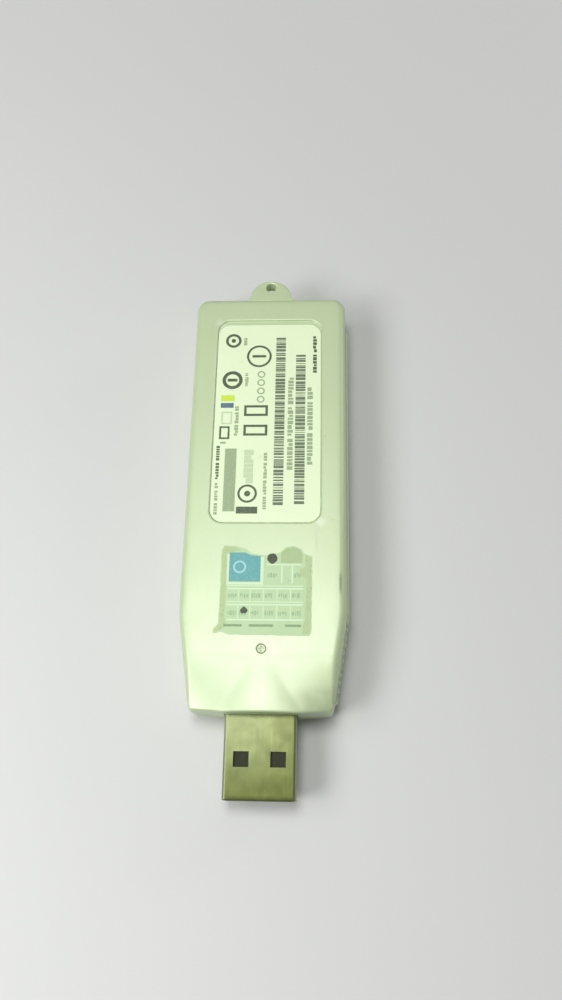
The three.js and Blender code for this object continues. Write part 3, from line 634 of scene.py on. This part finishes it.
def build_label():
    """White paper that lies a little unevenly in its pocket."""
    loop, normals = rounded_rectangle(LABEL_W, LABEL_L, LABEL_CORNER, LABEL_Y, 0.5)
    steps = ((0.05, LABEL_Z), (0.0, LABEL_Z + 0.03), (0.0, LABEL_TOP - 0.04), (0.04, LABEL_TOP))
    loops = [offset(loop, normals, -inset) for inset, _ in steps]
    verts, faces = [], []
    stack(verts, faces, loops, [z for _, z in steps])
    grid = [(x, y) for x in range(-9, 10) for y in range(-1, 38) if abs(x) < 9 or 1 < y < 36]
    for k in (0, -1):
        fill(verts, faces, [loops[k]], grid, lambda x, y: steps[k][1])
    lift = 0.02
    uneven = [(x, y, z + lift * noise.noise(Vector((x * 0.25, y * 0.2, 3.0)))) for x, y, z in verts]
    return make_mesh("label_paper", uneven, faces)


class Print:
    """Closed patches of ink that lie on a surface at height z."""

    def __init__(self, z):
        self.verts, self.faces, self.z = [], [], z

    def patch(self, points):
        """A flat patch with a convex outline, anticlockwise."""
        low = add_ring(self.verts, [(x, y, self.z) for x, y in points])
        high = add_ring(self.verts, [(x, y, self.z + INK) for x, y in points])
        bridge(self.faces, low, high)
        self.faces.append(tuple(reversed(low)))
        self.faces.append(tuple(high))

    def bar(self, x0, x1, y0, y1):
        self.patch([(x0, y0), (x1, y0), (x1, y1), (x0, y1)])

    def outline(self, outer, inner):
        """A closed band of ink between two loops with as many points each."""
        rings = []
        for z in (self.z, self.z + INK):
            for loop in (outer, inner):
                rings.append(add_ring(self.verts, [(x, y, z) for x, y in loop]))
        outer_low, inner_low, outer_high, inner_high = rings
        bridge(self.faces, outer_low, outer_high)
        bridge(self.faces, outer_high, inner_high)
        bridge(self.faces, inner_high, inner_low)
        bridge(self.faces, inner_low, outer_low)

    def ring(self, x, y, radius, thick):
        self.outline(circle(x, y, radius), circle(x, y, radius - thick))

    def frame(self, x, y, width, length, thick):
        """A plain rectangle outline."""
        inner = rectangle(x, y, width - 2 * thick, length - 2 * thick)
        self.outline(rectangle(x, y, width, length), inner)

    def disc(self, x, y, radius):
        self.patch(circle(x, y, radius, 20))

    def blocks(self, x0, x1, y0, y1, least=0.25, most=0.7, gap=0.16, word=5):
        """A line of text-sized blocks that say nothing, running along Y, with spaces between words."""
        y, k = y0, 0
        while y < y1 - least:
            size = RNG.uniform(least, most)
            inset = RNG.choice((0.0, 0.0, 0.25)) * (x1 - x0)
            side = RNG.choice((0, 1))
            self.bar(x0 + inset * side, x1 - inset * (1 - side), y, min(y + size, y1))
            k += 1
            y += size + (gap * 3.5 if k % word == 0 else gap)

    def words(self, x0, x1, y0, y1):
        """A short line of text-sized blocks that say nothing, running along X."""
        x = x0
        while x < x1 - 0.2:
            size = RNG.uniform(0.2, 0.45)
            drop = RNG.choice((0.0, 0.0, 0.2))
            self.bar(x, min(x + size, x1), y0 + drop, y1 - RNG.choice((0.0, 0.15)))
            x += size + 0.12

    def bars(self, x0, x1, y0, y1):
        """A bar code: random bars across X, stacked along Y."""
        y = y0
        while y < y1:
            size = RNG.choice((0.14, 0.28, 0.42, 0.56))
            self.bar(x0, x1, y, min(y + size, y1))
            y += size + RNG.choice((0.12, 0.12, 0.16, 0.28))

    def finish(self, name):
        return make_mesh(name, self.verts, self.faces)


def build_label_print():
    """Generic marks where a rating label has its marks, lines of blocks for text, and two bar codes."""
    print_z = LABEL_TOP + 0.022
    black, code, grey, faint, blue, yellow = (Print(print_z) for _ in range(6))
    # marks along the left, from the lug end to the plug end
    black.ring(-6.9, 34.8, 1.5, 0.5)
    black.disc(-6.9, 34.8, 0.42)
    grey.blocks(-4.9, -4.3, 33.8, 35.8, 0.2, 0.4, 0.08)
    black.ring(-6.8, 26.3, 1.9, 0.65)
    black.bar(-7.7, -5.9, 26.0, 26.6)
    grey.blocks(-4.4, -3.8, 25.0, 27.8, 0.2, 0.4, 0.08)
    yellow.bar(-8.8, -6.3, 21.9, 23.1)
    blue.bar(-8.8, -6.4, 20.5, 21.5)
    faint.frame(-7.6, 18.4, 2.0, 2.6, 0.3)
    black.frame(-7.9, 15.4, 1.9, 2.6, 0.35)
    grey.blocks(-8.6, -7.2, 13.2, 13.7, 0.3, 0.5)
    grey.blocks(-6.1, -5.4, 14.8, 20.8, 0.3, 0.6, 0.1, 4)
    black.blocks(-9.2, -8.6, 6.2, 13.4, 0.3, 0.5, 0.14, 6)
    grey.blocks(-9.2, -8.6, -0.6, 5.6, 0.3, 0.5, 0.14, 4)
    grey.bar(-7.6, -5.5, 0.0, 12.2)
    # second column: a ring with a bar, four light blocks, two plain pills, and a square outline
    black.ring(-1.9, 31.4, 2.35, 0.4)
    black.bar(-3.2, -0.6, 31.15, 31.65)
    for k in range(4):
        grey.ring(-1.4, 27.5 - k * 1.75, 0.72, 0.24)
    for y in (15.9, 19.9):
        black.frame(-2.2, y, 4.4, 2.2, 0.45)
    faint.blocks(-4.1, -2.4, 5.4, 12.6, 0.6, 1.4, 0.08, 9)
    black.ring(-3.3, 3.4, 1.75, 0.4)
    black.disc(-3.3, 3.4, 0.55)
    black.bar(-5.2, -1.4, -0.4, 0.9)
    grey.blocks(-0.5, 0.1, 0.4, 11.6, 0.3, 0.6, 0.12, 5)
    # bar codes with a line of blocks beside each
    code.bars(1.3, 3.1, 1.2, 35.4)
    grey.blocks(3.7, 4.7, 8.0, 27.6, 0.4, 0.8, 0.18, 8)
    code.bars(5.1, 6.9, 1.4, 31.8)
    grey.blocks(7.3, 8.3, 9.0, 25.2, 0.4, 0.8, 0.18, 8)
    black.blocks(8.3, 9.0, 27.8, 36.0, 0.35, 0.7, 0.14, 6)
    layers = (
        (black, "black", "black"),
        (code, "code", "black"),
        (grey, "grey", "grey"),
        (faint, "faint", "grey"),
        (blue, "blue", "blue"),
        (yellow, "yellow", "yellow"),
    )
    return [
        (layer.finish("label_print_" + tone), tone, "label_ink_" + slot) for layer, tone, slot in layers
    ]


def ragged(points, size, seed):
    """A closed outline with uneven edges, from straight runs between points."""
    spacing = 0.35
    found = []
    for a, b in zip(points, points[1:] + points[:1]):
        a, b = Vector(a), Vector(b)
        steps = max(1, round((b - a).length / spacing))
        across = (b - a).orthogonal().normalized()
        for k in range(steps):
            p = a.lerp(b, k / steps)
            wander = noise.noise(Vector((p.x * 1.3, p.y * 1.3, seed)))
            wander += 0.5 * noise.noise(Vector((p.x * 4.1, p.y * 4.1, seed + 9)))
            found.append(p + across * wander * size)
    return found


def film(name, outline, z0, z1):
    """A thin closed sheet."""
    verts, faces = [], []
    stack(verts, faces, [outline, outline], [z0, z1])
    for z in (z0, z1):
        fill(verts, faces, [outline], [], lambda x, y: z)
    return make_mesh(name, verts, faces)


STICKER_OUTLINE = [
    (-8.2, -21.9), (-7.0, -21.6), (-5.6, -22.1), (7.9, -22.2), (8.3, -21.4), (8.4, -8.3), (7.0, -7.9),
    (6.4, -7.0), (5.2, -6.5), (3.9, -6.7), (3.0, -7.5), (1.6, -8.2), (0.2, -8.2), (-2.0, -7.9),
    (-3.3, -7.0), (-5.0, -6.5), (-6.9, -6.4), (-7.3, -7.2), (-7.4, -20.2), (-8.3, -21.2),
]
LEFT_GLUE = [
    (-8.1, -21.7), (-7.0, -21.4), (-6.0, -20.6), (-6.5, -19.2), (-6.3, -14.0), (-6.4, -7.8),
    (-3.9, -7.3), (-5.0, -6.65), (-6.8, -6.55), (-7.15, -7.2), (-7.25, -20.2), (-8.1, -21.2),
]
RIGHT_GLUE = [
    (6.7, -21.8), (7.8, -22.0), (8.15, -21.3), (8.25, -8.5), (7.2, -8.1), (7.3, -10.3), (6.2, -10.7),
    (6.4, -11.9), (7.5, -12.4), (7.2, -19.6),
]
TORN_PATCH = [(3.0, -9.6), (6.7, -9.6), (6.8, -8.0), (6.3, -7.15), (5.2, -6.65), (4.0, -6.85), (3.1, -7.6)]


def build_sticker():
    return film("sticker_sheet", ragged(STICKER_OUTLINE, 0.14, 5.0), STICKER_Z, STICKER_TOP)


def build_sticker_print():
    """A blue panel with a plain ring, a table of pale lines with blocks for text, and three dashes."""
    z = STICKER_TOP + GAP
    blue, pale, grey = (Print(z) for _ in range(3))
    ring, dash = (Print(z + INK + GAP) for _ in range(2))
    blue.patch([(-5.9, -12.9), (-0.5, -12.9), (-0.5, -8.35), (-2.2, -8.15), (-3.3, -7.7), (-5.9, -7.7)])
    pale.bar(-6.3, -5.95, -13.0, -8.0)
    pale.bar(-0.45, 0.05, -13.0, -8.5)
    pale.bar(-6.3, 0.05, -13.45, -13.05)
    pale.bar(0.6, 6.6, -10.0, -9.75)
    for x in (3.1, 4.9):
        pale.bar(x, x + 0.25, -13.2, -10.05)
    for y in (-14.3, -17.1, -19.7):
        pale.bar(-6.1, 6.9, y, y + 0.26)
    for y in (-13.75, -16.55):
        pale.bar(-6.1, 6.9, y, y + 0.16)
    for y0, y1 in ((-16.35, -14.35), (-19.4, -17.15)):
        for x in (-4.2, -2.2, 0.1, 2.4, 4.7):
            pale.bar(x, x + 0.14, y0, y1)
        for x in (-5.9, -3.9, -1.9, 0.4, 2.7, 5.0):
            grey.words(x, x + 1.5, y0 + 0.6, y0 + 1.4)
    grey.words(0.8, 2.6, -12.2, -11.3)
    grey.words(5.3, 6.4, -12.2, -11.3)
    for x0, x1 in ((-6.5, -3.4), (-2.2, 1.9), (3.9, 6.6)):
        dash.bar(x0, x1, -20.75, -20.35)
    ring.ring(-4.1, -10.3, 1.15, 0.35)
    return [
        (blue.finish("sticker_panel"), "teal", "label_ink_blue"),
        (pale.finish("sticker_lines"), "pale", "sticker_film"),
        (grey.finish("sticker_words"), "sage", "label_ink_grey"),
        (dash.finish("sticker_dashes"), "moss", "label_ink_grey"),
        (ring.finish("sticker_ring"), "sky", "label_ink_blue"),
    ]


def build_sticker_dirt():
    """Old glue along both sides of the sticker, a torn patch, and two dark spots."""
    low = STICKER_TOP + GAP
    high = low + INK + 0.004
    sheets = [
        ("left_glue", "glue", LEFT_GLUE, 0.12, 2.0, low),
        ("right_glue", "glue", RIGHT_GLUE, 0.12, 6.0, low),
        ("torn_patch", "torn", TORN_PATCH, 0.1, 8.0, low),
    ]
    spots = (("spot_rear", 1.5, -8.75, 0.85, 0.95), ("spot_front", -3.1, -17.9, 0.6, 0.62))
    for name, x, y, wide, tall in spots:
        loop = [(x + wide * p.x, y + tall * p.y) for p in circle(0, 0, 1.0, 14)]
        sheets.append((name, "spot", loop, 0.25, 4.0, high))
    return [
        (film(name, ragged(outline, size, seed), z, z + INK), tone)
        for name, tone, outline, size, seed, z in sheets
    ]


# ---- Finishes ----


def linear(*rgb):
    """Display colour, 0 to 255, as the linear values Blender wants."""
    out = []
    for value in rgb:
        c = value / 255
        out.append(c / 12.92 if c <= 0.04045 else ((c + 0.055) / 1.055) ** 2.4)
    return (*out, 1.0)


# places of the colours among the sockets of a Mix node, which also mixes numbers and vectors
MIX_A, MIX_B, MIX_OUT = 6, 7, 2


class Finish:
    """A procedural material, built up from a few kinds of detail. Sizes are in millimetres."""

    def __init__(self, name, colour, roughness, metallic=0.0, coat=0.0):
        self.material = bpy.data.materials.new(name)
        self.material.use_nodes = True
        self.tree = self.material.node_tree
        self.shader = self.tree.nodes["Principled BSDF"]
        self.feed(self.shader, {"Metallic": metallic, "Coat Weight": coat})
        self.place = self.node("ShaderNodeTexCoord").outputs["Object"]
        self.colour = self.node("ShaderNodeRGB").outputs[0]
        self.colour.default_value = linear(*colour)
        self.rough = self.node("ShaderNodeValue").outputs[0]
        self.rough.default_value = roughness
        self.height = None

    def feed(self, node, inputs):
        """Sets a node's inputs, or links those whose value is an output of another node."""
        for key, value in inputs.items():
            if isinstance(value, bpy.types.NodeSocket):
                self.tree.links.new(value, node.inputs[key])
            else:
                node.inputs[key].default_value = value

    def node(self, kind, inputs=None, **settings):
        """A new node, with its inputs given by name or by number."""
        made = self.tree.nodes.new(kind)
        for key, value in settings.items():
            setattr(made, key, value)
        self.feed(made, inputs or {})
        return made

    def scaled(self, size, stretch=(1, 1, 1)):
        """The place on the object, counted in steps of `size`, stretched along each axis."""
        scale = [1 / (size * MM * share) for share in stretch]
        return self.node("ShaderNodeMapping", {"Vector": self.place, "Scale": scale}).outputs[0]

    def noise(self, size, detail, stretch=(1, 1, 1), distortion=0.0):
        """Noise whose blobs are about `size` across, stretched along each axis."""
        place = self.scaled(size, stretch)
        inputs = {"Vector": place, "Scale": 1.0, "Detail": detail, "Distortion": distortion}
        return self.node("ShaderNodeTexNoise", inputs).outputs["Fac"]

    def spots(self, size, share):
        """1 in round spots scattered about `size` apart, with `share` of that as their radius, else 0."""
        cells = self.node("ShaderNodeTexVoronoi", {"Vector": self.scaled(size), "Scale": 1.0})
        return self.band(cells.outputs["Distance"], share * 1.15, share)

    def band(self, value, low, high):
        """0 below low and 1 above high, or the reverse when low is the larger."""
        inputs = {"Value": value, "From Min": low, "From Max": high}
        return self.node("ShaderNodeMapRange", inputs, interpolation_type="SMOOTHSTEP").outputs["Result"]

    def maths(self, operation, a, b):
        """A sum or product of outputs or numbers."""
        return self.node("ShaderNodeMath", {0: a, 1: b}, operation=operation).outputs[0]

    def axis(self, name, start, end):
        """0 at start and 1 at end, in millimetres along an axis of the object."""
        split = self.node("ShaderNodeSeparateXYZ", {0: self.place})
        return self.band(split.outputs[name], start * MM, end * MM)

    def patch(self, x, y, wide, tall):
        """1 inside a soft-edged rectangle, seen from above."""
        mask = 1.0
        for name, middle, size in (("X", x, wide), ("Y", y, tall)):
            for side in (-1, 1):
                limit = middle + side * size / 2
                soft = side * size * 0.3
                mask = self.maths("MULTIPLY", self.axis(name, limit + soft, limit - soft), mask)
        return mask

    def tint(self, mask, colour, strength):
        """Mixes in a colour, by the mask times the strength."""
        share = self.maths("MULTIPLY", mask, strength)
        inputs = {"Factor": share, MIX_A: self.colour, MIX_B: linear(*colour)}
        self.colour = self.node("ShaderNodeMix", inputs, data_type="RGBA").outputs[MIX_OUT]

    def roughen(self, mask, amount):
        self.rough = self.maths("ADD", self.rough, self.maths("MULTIPLY", mask, amount))

    def bump(self, value, depth):
        """Raises the surface by value times depth."""
        scaled = self.maths("MULTIPLY", value, depth * MM)
        self.height = scaled if self.height is None else self.maths("ADD", self.height, scaled)

    def edges(self):
        """1 on outer edges, for wear."""
        return self.band(self.node("ShaderNodeNewGeometry").outputs["Pointiness"], 0.52, 0.58)

    def occlusion_shade(self, reach):
        """1 in gaps and inner corners within reach of another surface, for painted shade."""
        made = self.node("ShaderNodeAmbientOcclusion", {"Distance": reach * MM}, samples=8)
        return self.band(made.outputs["AO"], 0.75, 0.3)

    def done(self):
        """Links everything to the shader and gives the material."""
        relief = self.node("ShaderNodeBump", {"Height": self.height, "Strength": 1.0, "Distance": 1.0})
        normal = relief.outputs[0]
        self.feed(self.shader, {"Base Color": self.colour, "Roughness": self.rough, "Normal": normal})
        return self.material


def pearl_plastic():
    """Silver-pearl ABS with a yellowed cast, fine flake, handling marks and painted shade in the corners.

    The two patches are a dark streak on one flank and painted shade, in blotches, on one corner of the
    nose.
    """
    f = Finish("pearl_plastic", (201, 220, 178), 0.42, 0.2, 1.0)
    f.feed(f.shader, {"Coat Roughness": 0.34})
    f.tint(f.noise(14, 2.0), (196, 214, 162), 0.5)
    f.tint(f.band(f.noise(0.09, 1.0), 0.55, 0.75), (240, 248, 224), 0.25)
    f.roughen(f.noise(6, 4.0), 0.14)
    f.roughen(f.band(f.noise(0.25, 2.0, (1, 30, 1), 0.3), 0.66, 0.72), 0.15)
    f.tint(f.band(f.noise(2.2, 6.0), 0.7, 0.78), (150, 156, 112), 0.3)
    f.tint(f.patch(13.25, -13.0, 0.5, 3.2), (124, 134, 92), 0.6)
    # painted shade: darker blotches on the right corner of the nose
    corner = f.patch(9.6, FRONT_Y + 1.8, 6.4, 4.4)
    f.tint(f.maths("MULTIPLY", corner, f.band(f.noise(3.0, 2.0), 0.0, 0.7)), (146, 156, 116), 0.5)
    # painted shade: darker in gaps and inner corners, by ambient occlusion
    f.tint(f.occlusion_shade(0.35), (118, 126, 88), 0.42)
    f.tint(f.edges(), (236, 244, 222), 0.4)
    f.bump(f.noise(0.12, 1.0), 0.004)
    f.bump(f.noise(5.0, 2.0), 0.03)
    return f.done()


def plug_metal():
    """Plated sheet steel, dulled and yellowed, with fine rubbing marks along the plug, and painted shade on
    its top face.
    """
    f = Finish("plug_metal", (143, 152, 111), 0.34, 1.0)
    f.tint(f.noise(5, 3.0), (130, 136, 94), 0.45)
    # painted shade on the top face: darker towards +X and towards the mouth
    top = f.axis("Z", SEAM_Z + PLUG_H / 2 - 0.3, SEAM_Z + PLUG_H / 2 - 0.1)
    f.tint(f.maths("MULTIPLY", f.axis("X", -3.0, 6.0), top), (108, 114, 66), 0.65)
    f.tint(f.maths("MULTIPLY", f.axis("Y", FRONT_Y, TIP_Y), top), (92, 99, 55), 0.95)
    f.tint(f.band(f.noise(2.6, 4.0), 0.56, 0.72), (124, 130, 86), 0.22)
    for side in (-1, 1):
        f.tint(f.axis("X", side * 5.3, side * 5.9), (190, 196, 164), 0.5)
    f.roughen(f.noise(2.5, 4.0), 0.18)
    rubbing = f.noise(0.12, 2.0, (1, 60, 1))
    f.roughen(rubbing, 0.12)
    f.bump(rubbing, 0.0015)
    f.bump(f.noise(3.5, 1.0), 0.008)
    return f.done()


def coated_paper():
    """Glossy label paper, a little yellowed and soiled."""
    f = Finish("coated_paper", (234, 251, 212), 0.42, 0.0, 0.1)
    f.tint(f.noise(7, 3.0), (226, 244, 200), 0.5)
    f.tint(f.band(f.noise(1.4, 6.0), 0.66, 0.78), (200, 205, 170), 0.3)
    f.roughen(f.noise(3, 3.0), 0.15)
    f.bump(f.noise(0.1, 2.0), 0.002)
    f.bump(f.noise(4, 2.0), 0.012)
    return f.done()


def ink(name, colour):
    """Printing ink, thin and a little uneven, so that some of the paper shows through."""
    f = Finish(name, colour, 0.45)
    pale = tuple(int(c + (235 - c) * 0.35) for c in colour)
    f.tint(f.band(f.noise(0.3, 4.0), 0.5, 0.72), pale, 0.6)
    f.roughen(f.noise(1, 2.0), 0.1)
    f.bump(f.noise(0.08, 2.0), 0.001)
    return f.done()


def worn_sticker():
    """The second sticker's film, rubbed and patchy."""
    f = Finish("worn_sticker", (188, 216, 168), 0.5)
    f.tint(f.noise(2.5, 4.0), (204, 228, 184), 0.6)
    f.tint(f.band(f.noise(1.2, 5.0), 0.6, 0.78), (164, 190, 142), 0.45)
    f.roughen(f.noise(1.5, 3.0), 0.2)
    f.bump(f.noise(0.5, 4.0), 0.01)
    return f.done()


def old_glue():
    """Yellowed glue with dust stuck in it."""
    f = Finish("old_glue", (180, 200, 148), 0.55)
    f.tint(f.noise(1.6, 4.0), (200, 220, 170), 0.7)
    f.tint(f.band(f.noise(0.5, 5.0), 0.56, 0.72), (150, 166, 118), 0.5)
    f.roughen(f.noise(0.7, 3.0), 0.2)
    f.bump(f.noise(0.4, 4.0), 0.01)
    return f.done()


def moulded(name, colour, roughness):
    """Dark moulded resin or nylon, with a fine matt grain and pale rubbed edges."""
    f = Finish(name, colour, roughness)
    pale = tuple(min(255, c + 34) for c in colour)
    f.tint(f.noise(1.5, 4.0), pale, 0.35)
    f.tint(f.edges(), tuple(min(255, c + 60) for c in colour), 0.4)
    f.roughen(f.noise(0.8, 3.0), 0.15)
    f.bump(f.noise(0.06, 2.0), 0.004)
    return f.done()


def plated(name, colour, roughness, size=1.0):
    """A plated or tinned metal with clouding and fine scratches."""
    f = Finish(name, colour, roughness, 1.0)
    dull = tuple(int(c * 0.75) for c in colour)
    f.tint(f.noise(3 * size, 4.0), dull, 0.5)
    f.roughen(f.noise(1.2 * size, 4.0), 0.25)
    scratches = f.noise(0.08, 2.0, (1, 25, 1), 0.4)
    f.roughen(scratches, 0.1)
    f.bump(scratches, 0.0015)
    return f.done()


def fired(name, colour):
    """Ceramic or ferrite, speckled and slightly grainy."""
    f = Finish(name, colour, 0.5)
    dark = tuple(int(c * 0.7) for c in colour)
    f.tint(f.band(f.noise(0.15, 4.0), 0.5, 0.7), dark, 0.5)
    f.roughen(f.noise(0.5, 3.0), 0.2)
    f.bump(f.noise(0.1, 3.0), 0.004)
    return f.done()


def circuit_board():
    """Green solder mask over a laminate, with faint copper tracks below it."""
    f = Finish("circuit_board", (28, 88, 52), 0.35, 0.0, 0.3)
    tracks = f.band(f.noise(0.8, 0.0, (1, 12, 1)), 0.5, 0.53)
    f.tint(tracks, (44, 122, 70), 0.8)
    f.bump(tracks, 0.01)
    f.tint(f.spots(2.1, 0.12), (196, 176, 112), 0.9)
    f.roughen(f.noise(1.0, 3.0), 0.15)
    return f.done()


def clear_plastic():
    """The light pipe's clear plastic, slightly clouded."""
    f = Finish("clear_plastic", (214, 226, 216), 0.12)
    f.feed(f.shader, {"Transmission Weight": 0.75})
    f.tint(f.noise(1.0, 3.0), (190, 204, 190), 0.4)
    f.roughen(f.noise(0.6, 3.0), 0.15)
    f.bump(f.noise(0.2, 2.0), 0.003)
    return f.done()


# ---- The object ----


def paint(obj, material):
    obj.data.materials.clear()
    obj.data.materials.append(material)


def add_piece(obj, material, slot, *nodes):
    """Puts a piece on the part's one body, in place of the CAD nodes named."""
    paint(obj, material)
    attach(obj, "root")
    if nodes:
        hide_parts(*nodes)
    return obj


def dress_covers():
    pearl = pearl_plastic()
    add_piece(build_back_cover(), pearl, "case_plastic", "back_cover")
    add_piece(build_front_cover(), pearl, "case_plastic", "front_cover")


def dress_plug():
    shell = add_piece(build_plug(), plug_metal(), "plug_steel", "plug_shell")
    bevel(shell, 0.04, 50.0)


def dress_label():
    tones = {
        "black": (82, 98, 70),
        "code": (104, 120, 92),
        "grey": (158, 178, 138),
        "faint": (200, 220, 178),
        "blue": (92, 116, 138),
        "yellow": (206, 234, 70),
        "teal": (100, 170, 170),
        "sky": (158, 214, 216),
        "pale": (214, 240, 200),
        "sage": (160, 192, 146),
        "moss": (134, 162, 116),
        "spot": (62, 72, 48),
        "torn": (172, 196, 142),
    }
    inks = {name: ink("ink_" + name, colour) for name, colour in tones.items()}
    inks["glue"] = old_glue()
    add_piece(build_label(), coated_paper(), "label_paper", "rating_label")
    add_piece(build_sticker(), worn_sticker(), "sticker_film", "approval_sticker")
    for obj, tone, slot in build_label_print() + build_sticker_print():
        add_piece(obj, inks[tone], slot)
    for obj, tone in build_sticker_dirt():
        add_piece(obj, inks[tone], "adhesive_residue")


def dress_kept_nodes():
    """Materials for the CAD nodes that keep their own shape, by the record's material slots."""
    made = {
        "plug_core_plastic": moulded("black_nylon", (18, 21, 4), 0.85),
        "contact_gold": plated("gold_plate", (214, 178, 96), 0.25),
        "screw_steel": plated("zinc_plate", (214, 222, 196), 0.42),
        "light_pipe_plastic": clear_plastic(),
        "board_laminate": circuit_board(),
        "shield_tin": plated("tin_plate", (196, 200, 198), 0.3, 2.0),
        "chip_resin": moulded("chip_resin", (30, 30, 32), 0.55),
        "part_ceramic": fired("white_ceramic", (226, 222, 208)),
        "capacitor_ceramic": fired("tan_ceramic", (182, 146, 98)),
        "tantalum_resin": moulded("tantalum_resin", (204, 154, 58), 0.45),
        "ferrite": fired("dark_ferrite", (62, 62, 64)),
    }
    for row in frame["record"]["subparts"]:
        node = frame["nodes"][row["node"]]
        if node.hide_render or row["material_slot"] not in made:
            continue
        paint(node, made[row["material_slot"]])
        bevel(node, 0.05, 40.0)


# ---- Stage ----

# how far the lamps light the floor, in metres, how bright the rest of it looks, and the light all round
LIT_REACH, FLOOR_GLOW, AMBIENT = 0.42, 0.45, 0.18


def floor_finish():
    """Pale matt card. The camera sees it glow where the lamps don't reach, so it is pale to the horizon."""
    f = Finish("floor", (214, 215, 213), 0.6)
    f.tint(f.noise(60, 3.0), (208, 210, 209), 0.5)
    f.bump(f.noise(0.8, 3.0), 0.004)
    distance = f.node("ShaderNodeVectorMath", {0: f.place}, operation="LENGTH")
    unlit = f.band(distance.outputs["Value"], 0.0, LIT_REACH)
    seen = f.node("ShaderNodeLightPath").outputs["Is Camera Ray"]
    glow = f.maths("MULTIPLY", f.maths("MULTIPLY", unlit, seen), FLOOR_GLOW)
    f.feed(f.shader, {"Emission Strength": glow, "Emission Color": (1.0, 1.0, 1.0, 1.0)})
    return f.done()


def add_floor():
    reach, below = 6000.0, -0.02
    corners = [(x, y, below) for x, y in rectangle(0, 0, 2 * reach, 2 * reach)]
    floor = make_mesh("floor", corners, [(0, 1, 2, 3)])
    paint(floor, floor_finish())


def add_light(name, place, aim, power, size):
    """A square lamp at a place, turned towards what it lights, in metres."""
    data = bpy.data.lights.new(name, "AREA")
    data.energy = power
    data.size = size
    light = add_object(name, data)
    light.location = place
    light.rotation_euler = (Vector(aim) - Vector(place)).to_track_quat("-Z", "Y").to_euler()


def add_world():
    """Soft light from all round. The camera sees it as bright as the far floor, so no horizon shows."""
    world = bpy.data.worlds.new("world")
    bpy.context.scene.world = world
    world.use_nodes = True
    nodes, links = world.node_tree.nodes, world.node_tree.links
    background = nodes["Background"]
    background.inputs["Color"].default_value = (1.0, 1.0, 0.97, 1)
    path = nodes.new("ShaderNodeLightPath")
    level = nodes.new("ShaderNodeMapRange")
    level.inputs["To Min"].default_value = AMBIENT
    level.inputs["To Max"].default_value = AMBIENT * 0.67 + FLOOR_GLOW  # 0.67 is the floor's reflectance
    links.new(path.outputs["Is Camera Ray"], level.inputs["Value"])
    links.new(level.outputs["Result"], background.inputs["Strength"])


def add_lights():
    add_world()
    add_light("front", (-0.18, -0.12, 0.23), (0, -0.02, 0), 0.41, 0.12)
    add_light("left", (-0.22, 0.0, 0.26), (0, 0.0, 0), 0.18, 0.12)
    add_light("top", (-0.014, 0.012, 0.3), (0, -0.02, 0), 0.36, 0.09)
    add_light("rim", (0.28, 0.16, 0.1), (0, 0.03, 0), 0.1, 0.08)


def add_camera():
    """The photographed view: from above the plug end, looking down at 69 degrees."""
    place = Vector((10.7, -53.0, 154.6)) * MM
    aim = Vector((2.8, 2.1, 10.6)) * MM
    roll = math.radians(-1.2)
    ahead = (aim - place).normalized()
    up = (Vector((0, 1, 0)) - ahead * ahead.y).normalized()
    up.rotate(Matrix.Rotation(roll, 3, ahead))
    right = ahead.cross(up)
    turn = Matrix((right, up, -ahead)).transposed()
    data = bpy.data.cameras.new("camera")
    data.sensor_width = 36.0
    data.lens = 31.32
    data.clip_start, data.clip_end = 0.01, 10.0
    camera = add_object("camera", data)
    camera.matrix_world = Matrix.Translation(place) @ turn.to_4x4()
    bpy.context.scene.camera = camera
    bpy.context.scene.view_settings.view_transform = "Standard"


dress_covers()
dress_plug()
dress_label()
dress_kept_nodes()
add_floor()
add_lights()
add_camera()
